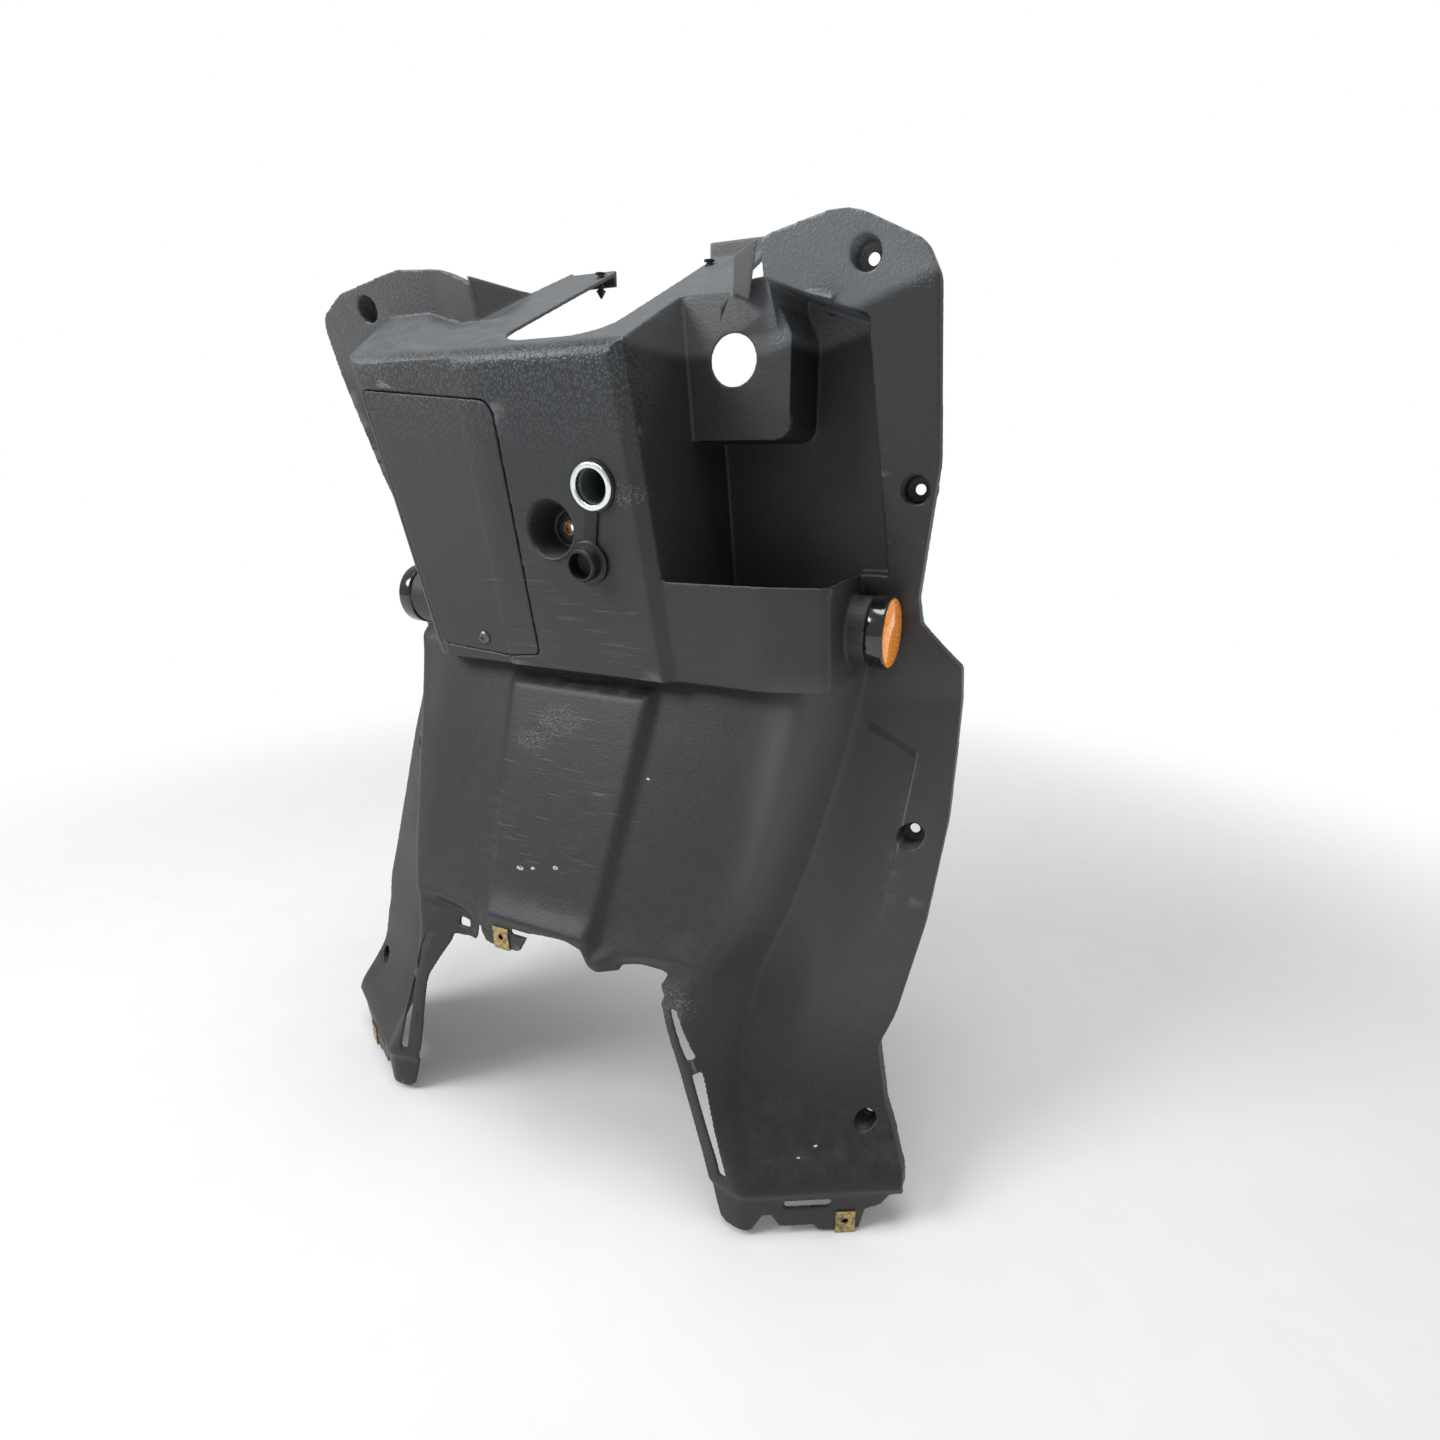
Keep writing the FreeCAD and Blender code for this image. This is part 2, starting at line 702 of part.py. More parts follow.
def cup(x, z, y, radius, depth, space):
    """Round screw cup that starts inside the wall at x, z, and its hollow with the screw hole."""
    outer = Part.makeCylinder(radius + wall, depth + wall + cup_depth, V(x, y - cup_depth, z), V(0, 1, 0))
    hollow = Part.makeCylinder(radius, depth + cup_depth, V(x, y - cup_depth, z), V(0, 1, 0))
    hole = Part.makeCylinder(screw_hole_r, depth + cup_depth, V(x, y, z), V(0, 1, 0))
    return outer.common(space), hollow.fuse(hole)


def leg_face_y(x, z):
    """Depth of the leg or wing face at x, z, outside its crease."""
    crease_x, crease_y = read_line(crease_line, z)
    tip_x, tip_y = read_line(flank_line, z)
    return crease_y + (tip_y - crease_y) * (x - crease_x) / (tip_x - crease_x)


def all_cups():
    """Cups of the horns, wings, flanks and legs on both sides."""
    half = wall / 2
    before_wing = across([(wing_y(-far) + half, -far), (wing_y(far) + half, far), (far, far), (far, -far)])
    before_skin = smooth_surface(pushed(skin_poles(), half)).toShape().extrude(V(0, far / 8, 0))
    cups = []
    for side in (1, -1):
        for x, z in (horn_hole, wing_hole):
            cups.append(cup(side * x, z, wing_y(z), cup_r, cup_depth, before_wing))
        for (x, z), radius, depth in ((flank_hole, cup_r, cup_depth), (leg_hole, leg_cup_r, leg_cup_depth)):
            cups.append(cup(side * x, z, leg_face_y(x, z), radius, depth, before_skin))
    return cups


def flange_slots():
    """Long slots in the inner strips of the legs and short ones in the lower flanges."""
    bodies = []
    for corners in strip_slots + foot_slots:
        wire = rounded([V(x, -far / 2, z) for x, z in corners], [slot_round] * len(corners))
        slot = Part.Face(wire).extrude(V(0, far, 0))
        bodies += [slot, mirrored(slot)]
    for x0, x1, z0, z1 in small_slots:
        bodies.append(along([(x0, z0), (x1, z0), (x1, z1), (x0, z1)], -far / 2, far / 2))
    return bodies


def reflector_boss(side):
    """Hollow boss that carries the reflector on one side, the space inside it and the stud's hole."""
    def disc(radius, start, end):
        centre = V(side * start, reflector_y, reflector_z)
        return Part.makeCylinder(radius, end - start, centre, V(side, 0, 0))
    outer = disc(boss_r, boss_root_x, reflector_x).cut(console_block())
    hollow = disc(boss_r - wall, boss_root_x, reflector_x - wall).cut(console_block(wall, far / 2))
    return outer, hollow, disc(stud_r + screw_clearance, boss_root_x, far)


def recess_cup():
    """Cup round the central fixing, and its hollow."""
    deep = recess_depth + grommet_flange_t
    back = deep + wall
    outer = turned([(0, 0), (recess_mouth_r + wall, 0), (recess_floor_r + wall, back), (0, back)])
    lip_r = recess_mouth_r + recess_lip
    neck_r = grommet_neck_r + fit_gap
    hollow = turned([(0, -recess_depth), (lip_r, -recess_depth), (lip_r, -recess_lip),
                     (recess_mouth_r, recess_lip / 2), (recess_floor_r, deep), (neck_r, deep),
                     (neck_r, deep + recess_depth), (0, deep + recess_depth)])
    return outer, hollow


@lru_cache(maxsize=None)
def cover_prism(grow):
    """Outline of the battery cover drawn out along Y, made larger or smaller all round."""
    wire = rounded([V(x, -far / 4, z) for x, z in cover_outline], cover_rounds)
    if grow:
        wire = wire.makeOffset2D(grow)
    return Part.Face(wire).extrude(V(0, far / 4 + wing_y(0) - 2 * wall, 0))


def cover_rebate():
    """Opening for the battery cover and the ledge that it rests on."""
    opening = cover_prism(0).common(console_block().cut(console_block(wall, far / 2)))
    ring = cover_prism(cover_ledge).cut(cover_prism(-cover_ledge))
    left, right = cover_screw_x - cover_tab, cover_screw_x + cover_tab
    low, high = cover_screw_z - cover_tab, cover_screw_z + cover_tab_up
    tab = along([(left, low), (right, low), (right, high), (left, high)], -far / 4, wing_y(0))
    layer = console_block(wall, far / 2).cut(console_block(2 * wall, far / 2))
    ledge = ring.fuse(tab.common(cover_prism(cover_ledge))).common(layer)
    return opening, ledge


def cover_hole():
    """Clearance hole for the cover's screw."""
    return on_face(rod(screw_r + screw_clearance, -12, 30), cover_screw_x, cover_screw_z, face_step)


def wing_skin():
    """Wings, lower panel and legs with their screw cups and slots."""
    cups = all_cups()
    skin = upper_wings().fuse(lower_skin())
    skin = skin.fuse([outer for outer, hollow in cups])
    return skin.cut([hollow for outer, hollow in cups] + flange_slots())


def leg_shield():
    """The moulded shield in one piece."""
    skin = wing_skin().cut(console_block(wall, far / 2))
    console = console_block().cut(console_block(wall, far / 2))
    clear = along([(pocket_left(lip_z), lip_z), (far, lip_z), (far, far), (pocket_left(far), far)])
    console = console.cut(clear.common(rear_of_wing(wall / 2)))
    body = skin.fuse([console, pocket_tub()])
    body = body.cut(pocket_space()).cut(lock_housing(wall)).cut(lock_shelf(wall))
    bosses = [reflector_boss(1), reflector_boss(-1)]
    recess, recess_hollow = recess_cup()
    opening, ledge = cover_rebate()
    deck = [deck_plate(), right_wall(), left_wall()] + arm_ends()
    body = body.fuse(deck + [recess] + [outer for outer, hollow, hole in bosses])
    body = body.cut(opening).fuse(ledge)
    cuts = [recess_hollow, steering_opening(), cover_hole()]
    for outer, hollow, hole in bosses:
        cuts += [hollow, hole]
    cuts.append(Part.makeCylinder(lock_bore_r, far / 4, V(lock_x, 0, lock_z), V(0, 1, 0)))
    tube_r = socket_bore_r + socket_tube_t + screw_clearance
    cuts.append(on_face(rod(tube_r, -20, 20), socket_x, socket_z))
    flange_hole = clip_hole(screw_hole_r)
    cuts += [at_tunnel_clip(flange_hole), at_floor_clip(flange_hole), mirrored(at_floor_clip(flange_hole))]
    for side in (1, -1):
        foot = V(side * pin_x, pin_y, deck_z(pin_y) - far / 8)
        cuts.append(Part.makeCylinder(pin_r + fit_gap, far / 4, foot, V(0, 0, 1)))
    return body.cut(cuts)


# Pieces fixed to the shield

def battery_cover():
    """Screwed cover, the same step and thickness as the console face round it."""
    plate = cover_prism(-cover_gap).common(console_block().cut(console_block(wall, far / 2)))
    return plate.cut(cover_hole())


def cover_screw():
    """Pan head screw with a cross slot, its head on the rider's side of the cover."""
    top = -screw_head_t
    head = turned([(0, top), (screw_head_r * 0.7, top), (screw_head_r, top * 0.4), (screw_head_r, 0),
                   (screw_r, 0), (screw_r, screw_length), (0, screw_length)])
    width, length, depth = screw_slot, screw_head_r * 1.1, screw_slot
    slot = Part.makeBox(length, depth, width, V(-length / 2, top, -width / 2))
    other = Part.makeBox(width, depth, length, V(-width / 2, top, -length / 2))
    return on_face(head.cut(slot).cut(other), cover_screw_x, cover_screw_z, face_step)


def cover_nut():
    """Square nut behind the ledge, for the cover's screw."""
    start = 2 * wall + fit_gap
    plate = Part.makeBox(clip_width, clip_t, clip_width, V(-clip_width / 2, start, -clip_width / 2))
    barrel = rod(clip_barrel_r, start, start + clip_t + clip_barrel_t)
    nut = plate.fuse(barrel).cut(rod(screw_r + fit_gap, 0, 40))
    return on_face(nut, cover_screw_x, cover_screw_z, face_step)


def socket_barrel():
    """Plated socket tube with its front flange."""
    seat = -strap_t
    r_tube = socket_bore_r + socket_tube_t
    r_wide = socket_bore_r + insulator_step
    bore_end = socket_length - insulator_t - insulator_seat
    front, ease = seat - socket_flange_t, socket_ease
    return turned([(socket_bore_r, front + ease), (socket_bore_r + ease, front),
                   (socket_flange_r - ease, front), (socket_flange_r, front + ease),
                   (socket_flange_r, seat), (r_tube, seat),
                   (r_tube, socket_length), (r_wide, socket_length), (r_wide, bore_end),
                   (socket_bore_r, bore_end)])


def socket_lock_nut():
    """Ring nut behind the console wall."""
    inner = socket_bore_r + socket_tube_t + fit_gap
    ring = tube(lock_nut_r, inner, wall, wall + lock_nut_t)
    notches = []
    for k in range(6):
        notch = Part.makeBox(3.0, lock_nut_t, 3.0, V(lock_nut_r - 1.2, wall, -1.5))
        notch.rotate(V(0, 0, 0), V(0, 1, 0), 60 * k)
        notches.append(notch)
    return ring.cut(notches)


def socket_insulator():
    """Plug of insulating plastic in the closed end of the socket."""
    radius = socket_bore_r + insulator_step - fit_gap
    return tube(radius, contact_r + fit_gap, socket_length - insulator_t, socket_length)


def socket_contact():
    """Centre contact through the insulator."""
    end = socket_length + contact_length / 3
    start = end - contact_length
    return turned([(0, start), (contact_r * 0.6, start), (contact_r, start + contact_r / 2), (contact_r, end),
                   (0, end)])


def socket_cap():
    """Rubber cap, strap and loop in one piece, the cap hanging open towards the rider."""
    loop = tube(socket_flange_r + 1.0, socket_bore_r + socket_tube_t + fit_gap, -strap_t, 0)
    dx, dz = cap_x - socket_x, cap_z - socket_z
    length = hypot(dx, dz)
    strap = Part.makeBox(strap_width, strap_t, length - 16, V(-strap_width / 2, -strap_t, -length + 4))
    strap.rotate(V(0, 0, 0), V(0, 1, 0), degrees(atan2(dx, dz)) + 180)
    disc = turned([(0, -strap_t), (0, 0), (cap_r, 0), (cap_r, -strap_t - 1.0), (cap_r - 1.0, -strap_t - 1.6),
                   (cap_plug_r, -strap_t - 1.6), (cap_plug_r, -cap_plug_length + 1),
                   (cap_plug_r - 0.8, -cap_plug_length), (cap_plug_r - cap_plug_t, -cap_plug_length),
                   (cap_plug_r - cap_plug_t, -strap_t)])
    disc.translate(V(dx, 0, dz))
    keep = tube(far / 2, socket_bore_r + socket_tube_t + fit_gap, -far / 8, far / 8)
    return on_face(loop.fuse([strap, disc]).common(keep).removeSplitter(), socket_x, socket_z)


def about_x(shape):
    """Turn a piece made about the Y axis so that its front end points to the rider's right."""
    moved = shape.copy()
    moved.rotate(V(0, 0, 0), V(0, 0, 1), 90)
    moved.translate(V(reflector_x, reflector_y, reflector_z))
    return moved


def reflector_housing():
    """Round black holder of the reflector."""
    floor = reflector_depth - lens_seat
    stud_hole, seat_r = stud_r + fit_gap, lens_r + fit_gap
    cupped = turned([(stud_hole, 0), (reflector_r - 1.5, 0), (reflector_r, -1.5),
                     (reflector_r, -reflector_depth + 1), (reflector_r - 0.8, -reflector_depth),
                     (seat_r, -reflector_depth), (seat_r, -floor), (stud_hole, -floor)])
    return about_x(cupped)


def reflector_lens():
    """Amber lens set into the holder, gently domed."""
    base = -(reflector_depth - lens_seat)
    face = -reflector_depth - 0.4
    return about_x(turned([(0, base), (lens_r, base), (lens_r, face), (lens_r - 1.2, face - 0.8),
                           (lens_r * 0.6, face - lens_dome * 0.8), (lens_r * 0.3, face - lens_dome),
                           (0, face - lens_dome)]))


def reflector_stud():
    """Threaded stud from the holder through the boss."""
    return about_x(rod(stud_r, -(reflector_depth - lens_seat), stud_length - (reflector_depth - lens_seat)))


def reflector_nut():
    """Hexagon nut inside the boss."""
    corners = [V(nut_r * cos(k * pi / 3), wall, nut_r * sin(k * pi / 3)) for k in range(6)]
    return about_x(prism(corners, V(0, nut_t, 0)).cut(rod(stud_r + fit_gap, 0, 20)))


def hook_grommet():
    """Rubber grommet in the floor of the recess."""
    rear, seat = recess_depth, recess_depth + grommet_flange_t
    back = seat + wall
    return turned([(bush_r, rear), (grommet_flange_r - 0.6, rear), (grommet_flange_r, rear + 0.6),
                   (grommet_flange_r, seat), (grommet_neck_r, seat), (grommet_neck_r, back),
                   (grommet_flange_r, back),
                   (grommet_flange_r, back + grommet_flange_t), (bush_r, back + grommet_flange_t)])


def hook_bush():
    """Brass bush in the grommet, for the frame bolt."""
    return tube(bush_r - fit_gap / 2, bush_bore_r, recess_depth, recess_depth + wall + 2 * grommet_flange_t)


def clip_hole(radius):
    """Screw hole through a clip nut or through the flange inside it."""
    hole = rod(radius, -far / 16, far / 16)
    hole.translate(V(0, 0, clip_hole_z))
    return hole


def clip_nut():
    """Spring clip nut about an upright flange whose rider's side is y = 0, its open end up."""
    air = clip_air
    thick = wall + 2 * (clip_t + air)
    outer = Part.makeBox(clip_width, thick, clip_length, V(-clip_width / 2, -clip_t - air, 0))
    inner = Part.makeBox(clip_width, wall + 2 * air, clip_length, V(-clip_width / 2, -air, clip_t))
    body = outer.cut(inner)
    barrel = rod(clip_barrel_r, wall + air, wall + air + clip_barrel_t)
    barrel.translate(V(0, 0, clip_hole_z))
    return body.fuse(barrel).cut(clip_hole(clip_thread_r))


def at_floor_clip(shape):
    """Put a shape made about an upright flange onto the foot flange of the right leg."""
    x, z = floor_clip_x, floor_clip_z
    moved = shape.copy()
    moved.rotate(V(0, 0, 0), V(0, 0, 1), degrees(atan2(leg_face_y(x + 1, z) - leg_face_y(x - 1, z), 2)))
    moved.translate(V(x, leg_face_y(x, z), z))
    return moved


def at_tunnel_clip(shape):
    """Put a shape made about an upright flange onto the middle flange under the pad."""
    low_y, = read_line(pad_line, tunnel_clip_z)
    high_y, = read_line(pad_line, tunnel_clip_z + clip_length)
    moved = shape.copy()
    moved.rotate(V(0, 0, 0), V(1, 0, 0), degrees(atan2(low_y - high_y, clip_length)))
    moved.translate(V(tunnel_clip_x, low_y, tunnel_clip_z))
    return moved


def trim_pin(side):
    """Snap pin that hangs from an arm tip."""
    top = deck_z(pin_y)
    shape = turned([(0, 2.0), (pin_head_r, 2.0), (pin_head_r, 0.9), (pin_r, 0.9), (pin_r, -pin_length + 6),
                    (pin_head_r, -pin_length + 5), (0.6, -pin_length), (0, -pin_length)])
    shape.rotate(V(0, 0, 0), V(1, 0, 0), 90)
    shape.translate(V(side * pin_x, pin_y, top + 1.0))
    return shape


# Save every piece in its own file

def save(name, shape):
    moved = shape.copy()
    moved.translate(V(0, -recess_depth, 0))
    moved.exportStep("parts/" + name + ".step")


os.makedirs("parts", exist_ok=True)
save("leg_shield", leg_shield())
save("battery_cover", battery_cover())
save("cover_screw", cover_screw())
save("cover_nut", cover_nut())
save("socket_barrel", on_face(socket_barrel(), socket_x, socket_z))
save("socket_lock_nut", on_face(socket_lock_nut(), socket_x, socket_z))
save("socket_insulator", on_face(socket_insulator(), socket_x, socket_z))
save("socket_contact", on_face(socket_contact(), socket_x, socket_z))
save("socket_cap", socket_cap())
save("hook_grommet", hook_grommet())
save("hook_bush", hook_bush())
save("tunnel_clip_nut", at_tunnel_clip(clip_nut()))
for side_name, flip in (("right", False), ("left", True)):
    pieces = {"reflector_housing_": reflector_housing(), "reflector_lens_": reflector_lens(),
              "reflector_stud_": reflector_stud(), "reflector_nut_": reflector_nut(),
              "floor_clip_nut_": at_floor_clip(clip_nut()), "trim_pin_": trim_pin(1)}
    for name, shape in pieces.items():
        save(name + side_name, mirrored(shape) if flip else shape)
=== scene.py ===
# %% [markdown]
# # Inner leg shield of a scooter
# The real object is one large black moulding with a console, a glove pocket and two legs. A cover, a socket,
# two amber reflectors and a few clips are fixed to it. The CAD model gives every piece its size and place, so
# nothing is measured again here. This lesson gives each piece its rounded edges and its finish, and lights it as
# a plain studio does.

# %% Load the frame
from math import cos, pi, radians, sin

import bmesh
import bpy
import numpy as np
from mathutils import Matrix, Vector


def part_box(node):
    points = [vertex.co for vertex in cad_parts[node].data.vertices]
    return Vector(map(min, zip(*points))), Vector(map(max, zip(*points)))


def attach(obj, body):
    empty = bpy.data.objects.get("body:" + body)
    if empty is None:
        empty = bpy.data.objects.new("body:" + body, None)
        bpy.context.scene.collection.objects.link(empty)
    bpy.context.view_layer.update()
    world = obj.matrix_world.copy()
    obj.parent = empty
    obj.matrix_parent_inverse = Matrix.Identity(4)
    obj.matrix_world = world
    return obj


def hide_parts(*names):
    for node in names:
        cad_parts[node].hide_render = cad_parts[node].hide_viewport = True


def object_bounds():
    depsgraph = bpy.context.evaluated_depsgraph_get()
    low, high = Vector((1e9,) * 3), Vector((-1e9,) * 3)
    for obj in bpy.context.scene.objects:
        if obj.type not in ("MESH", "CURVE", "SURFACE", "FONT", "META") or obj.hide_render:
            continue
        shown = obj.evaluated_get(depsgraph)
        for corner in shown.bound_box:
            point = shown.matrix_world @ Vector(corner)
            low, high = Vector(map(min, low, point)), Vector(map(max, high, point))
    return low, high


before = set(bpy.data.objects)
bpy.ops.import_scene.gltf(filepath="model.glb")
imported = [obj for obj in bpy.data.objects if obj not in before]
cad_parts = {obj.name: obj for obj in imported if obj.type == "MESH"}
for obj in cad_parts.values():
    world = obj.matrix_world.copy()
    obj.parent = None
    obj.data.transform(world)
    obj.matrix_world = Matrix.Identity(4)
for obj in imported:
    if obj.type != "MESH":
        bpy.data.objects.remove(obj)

cad_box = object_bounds()
print("CAD box", [tuple(round(c, 4) for c in corner) for corner in cad_box])

# %% [markdown]
# ## Shader maths as Python
# A finish is a net of small nodes. It could be wired by hand in the editor, but a long net is hard to read and to
# repeat. Wrapping a socket in a class with operators lets a mask be written as a formula. Every other node comes
# from one method, which sets the node's options first and its sockets after.


# %% The socket class
class Wire:
    """An output socket that can be used in a formula; each operator adds one Math node."""

    def __init__(self, socket):
        self.socket = socket

    def node(self, kind, settings, sockets, out=0):
        tree = self.socket.id_data
        made = tree.nodes.new(kind)
        for name, value in settings.items():
            setattr(made, name, value)
        for key, value in sockets.items():
            if isinstance(value, Wire):
                tree.links.new(value.socket, made.inputs[key])
            else:
                made.inputs[key].default_value = value
        return Wire(made.outputs[out])

    def maths(self, operation, first, second):
        return self.node("ShaderNodeMath", {"operation": operation}, {0: first, 1: second})

    def __add__(self, other):
        return self.maths("ADD", self, other)

    def __sub__(self, other):
        return self.maths("SUBTRACT", self, other)

    def __rsub__(self, other):
        return self.maths("SUBTRACT", other, self)

    def __mul__(self, other):
        return self.maths("MULTIPLY", self, other)

    def __truediv__(self, other):
        return self.maths("DIVIDE", self, other)

    __radd__ = __add__
    __rmul__ = __mul__

    def ramp(self, low, high, to_low=0.0, to_high=1.0):
        """Smooth step from one value to another as this one goes from low to high."""
        sockets = {"Value": self, "From Min": low, "From Max": high, "To Min": to_low, "To Max": to_high}
        return self.node("ShaderNodeMapRange", {"interpolation_type": "SMOOTHSTEP"}, sockets)

    def larger(self, other):
        return self.maths("MAXIMUM", self, other)

    def paint(self, under, over):
        """Mix of two colours by this mask."""
        settings = {"data_type": "RGBA"}
        return self.node("ShaderNodeMix", settings, {"Factor": self, 6: under, 7: over}, out=2)


print("socket class ready")

# %% [markdown]
# ## A few helpers for finishes
# Plastic, rubber and metal share the same few ingredients: a near-grey colour, noise, rounded cells, scratches
# and a bump. They could be copied into every finish, but one short function for each keeps the finishes easy to
# compare. All of them read Object coordinates, so a pattern stays on its piece.


# %% Shader helpers
def grey(level, warmth=0.0):
    """A near-grey colour, warm above zero and cool below."""
    return (level * (1 + warmth), level, level * (1 - warmth), 1.0)


def new_finish(name, **constants):
    """A material with one Principled shader, and the place on the piece as a wire."""
    material = bpy.data.materials.new(name)
    material.use_nodes = True
    nodes = material.node_tree.nodes
    shader = nodes["Principled BSDF"]
    for key, value in constants.items():
        shader.inputs[key.replace("_", " ")].default_value = value
    place = Wire(nodes.new("ShaderNodeTexCoord").outputs["Object"])
    return material, shader, place


def feed(shader, key, wire):
    wire.socket.id_data.links.new(wire.socket, shader.inputs[key])


def noise(place, scale, detail=2.0, roughness=0.5):
    sockets = {"Vector": place, "Scale": scale, "Detail": detail, "Roughness": roughness}
    return place.node("ShaderNodeTexNoise", {}, sockets, out="Fac")


def cells(place, scale):
    sockets = {"Vector": place, "Scale": scale, "Smoothness": 0.35}
    return place.node("ShaderNodeTexVoronoi", {"feature": "SMOOTH_F1"}, sockets, out="Distance")


def axes(place):
    """The three coordinates of the place, one wire each."""
    split = place.node("ShaderNodeSeparateXYZ", {}, {0: place})
    outputs = split.socket.node.outputs
    return [Wire(outputs[name]) for name in "XYZ"]


def upward(place):
    """How far the surface faces up, from the mesh's own normal."""
    geometry = place.node("ShaderNodeNewGeometry", {}, {}, out="Normal")
    return axes(geometry)[2]


def strokes(place, along, across, turn):
    """Thin scratch lines: noise drawn out along one direction and squeezed across it."""
    sockets = {"Vector": place, "Rotation": (0, radians(turn), 0), "Scale": (along, along, across)}
    drawn = place.node("ShaderNodeMapping", {}, sockets)
    return noise(drawn, 1.0, 3.0, 0.6)


def bump(shader, height, strength, depth):
    sockets = {"Height": height, "Strength": strength, "Distance": depth}
    feed(shader, "Normal", height.node("ShaderNodeBump", {}, sockets))


print("shader helpers ready")

# %% [markdown]
# ## Zones of the moulding
# The panel is one piece of black plastic, and yet it isn't painted in one tone. The horns, the ridge and the deck
# lean up to the light, and their paler tone is painted light; the steep band beside the right flank is painted paler
# as painted light too. The console is a little blue, the lower planes are smoother and a little brown, and the legs
# are painted darkest as painted shade. Weights painted by hand would be lost when the mesh is made again. So each
# zone is a mask that is worked out from the place on the piece, with a soft border.

# %% Zone masks
# Each pair is the value at which a mask starts and the value at which it is full, in metres. ASIDE is a distance
# from the middle plane, DEPTH goes forward, and RISE, FALL, TOP and FOOT are heights.
HORN_ASIDE, HORN_RISE = (0.1095, 0.1225), (0.080, 0.120)
FOLD_SLOPE, FOLD_HEIGHT, FOLD_BLUR = 0.32, 0.064, 0.004
LEFT_SIDE, LEFT_TO_RIGHT = (0.0, -0.1), (-0.1, 0.1)
DECK_ASIDE, DECK_DEPTH, DECK_RISE = (0.1225, 0.1095), (-0.030, -0.022), (0.098, 0.106)
SHINE_DEPTH, SHINE_RISE = (0.010, -0.010), (0.020, 0.110)
MIDDLE_ASIDE, MIDDLE_FALL = (0.1414, 0.1140), (-0.080, -0.110)
CONSOLE_RISE = (-0.14, 0.02)
FLANK_ASIDE, FLANK_FALL = (0.1612, 0.1789), (-0.075, -0.100)
LEG_FALL = (-0.280, -0.360)
COVER_LEFT, COVER_RISE = (-0.030, -0.060), (-0.080, 0.010)
BAND_INNER, BAND_OUTER, BAND_FOOT = (0.128, 0.148), (0.185, 0.165), (-0.300, -0.240)
PAD_ASIDE, PAD_FOOT, PAD_TOP = (0.0678, 0.0469), (-0.245, -0.215), (0.000, -0.040)


def aside(x, limits):
    """Mask by the distance from the middle plane, the same on both sides."""
    start, full = limits
    return (x * x).ramp(start ** 2, full ** 2)


def panel_zones(x, y, z):
    """The masks of the moulding's zones, by name."""
    fold = (z - FOLD_SLOPE * x - FOLD_HEIGHT).ramp(-FOLD_BLUR, FOLD_BLUR)
    horns = aside(x, HORN_ASIDE) * fold.larger(x.ramp(*LEFT_SIDE)) * z.ramp(*HORN_RISE)
    # The horns, deck and band are painted paler as painted light; the legs are painted darkest as painted shade.
    return {"horns": horns,
            "deck": y.ramp(*DECK_DEPTH) * z.ramp(*DECK_RISE) * aside(x, DECK_ASIDE),
            "shiny": horns.larger(z.ramp(*SHINE_RISE) * y.ramp(*SHINE_DEPTH)),
            "middle": aside(x, MIDDLE_ASIDE) * z.ramp(*MIDDLE_FALL),
            "console": z.ramp(*CONSOLE_RISE),
            "flanks": aside(x, FLANK_ASIDE) * z.ramp(*FLANK_FALL),
            "legs": z.ramp(*LEG_FALL),
            "cover": x.ramp(*COVER_LEFT) * z.ramp(*COVER_RISE),
            "band": x.ramp(*BAND_INNER) * x.ramp(*BAND_OUTER) * z.ramp(*FLANK_FALL) * z.ramp(*BAND_FOOT),
            "pad": aside(x, PAD_ASIDE) * z.ramp(*PAD_FOOT) * z.ramp(*PAD_TOP)}


print("zone masks ready")

# %% [markdown]
# ## Wear and painted light on the moulding
# The real panel has been used: edges are rubbed pale, the pad and the console carry fine scratches, grit has bitten
# into a few places, and small white chips show at others. A picture of wear would be stretched over the folds. Here
# the pale edges come from an attribute of the mesh and are partly rubbed wear and partly a painted highlight, the
# scratches come from drawn-out noise, and the chips from a list of places. Each flank also has a shallow pressed
# panel, whose side step gets a line of painted highlight and whose top slope gets a painted shade, with the same
# masks.

# %% Where the marks are
CHIPS = [((-0.0206, -0.0486, -0.2240), 0.0022), ((-0.0100, -0.0478, -0.2222), 0.0015),
         ((0.0075, -0.0465, -0.2186), 0.0018), ((0.0619, -0.0136, -0.1571), 0.0012),
         ((0.1916, -0.0293, -0.3861), 0.0010), ((0.1827, -0.0383, -0.3916), 0.0009)]
GRITTY_PLACES = [((0.2064, 0.0260, 0.1339), 0.012), ((0.0955, -0.0554, -0.2879), 0.018),
                 ((-0.0600, -0.0600, -0.2790), 0.010), ((0.0575, -0.0228, 0.0218), 0.010),
                 ((-0.0089, -0.0100, -0.1274), 0.016), ((-0.0300, -0.0150, -0.1420), 0.012)]
SPOT_FLATNESS = 1.9
PRESS_TOP = ((0.1835, -0.1247), (0.2151, -0.1454))
PRESS_SIDE = ((0.2151, -0.1454), (0.2077, -0.2690))
LINE_INNER, LINE_OUTER, LINE_FOOT = (-0.0012, -0.0002), (0.0010, 0.0002), (-0.215, -0.200)
SLOPE_START, SLOPE_END, SLOPE_INNER = (-0.0005, 0.0015), (0.0070, 0.0045), (-0.004, 0.002)
PRESS_BLUR = 0.001
PRESSED_ASIDE = (0.2269, 0.2214)


def near(place, spot, radius, ragged):
    """Mask of a rough-edged spot, about twice as wide as it is high."""
    apart = place.node("ShaderNodeVectorMath", {"operation": "SUBTRACT"}, {0: place, 1: spot})
    flat = (1.0, 1.0, SPOT_FLATNESS)
    apart = place.node("ShaderNodeVectorMath", {"operation": "MULTIPLY"}, {0: apart, 1: flat})
    reach = place.node("ShaderNodeVectorMath", {"operation": "LENGTH"}, {0: apart}, out="Value")
    return (reach + ragged * radius).ramp(radius * 1.4, radius * 0.8)


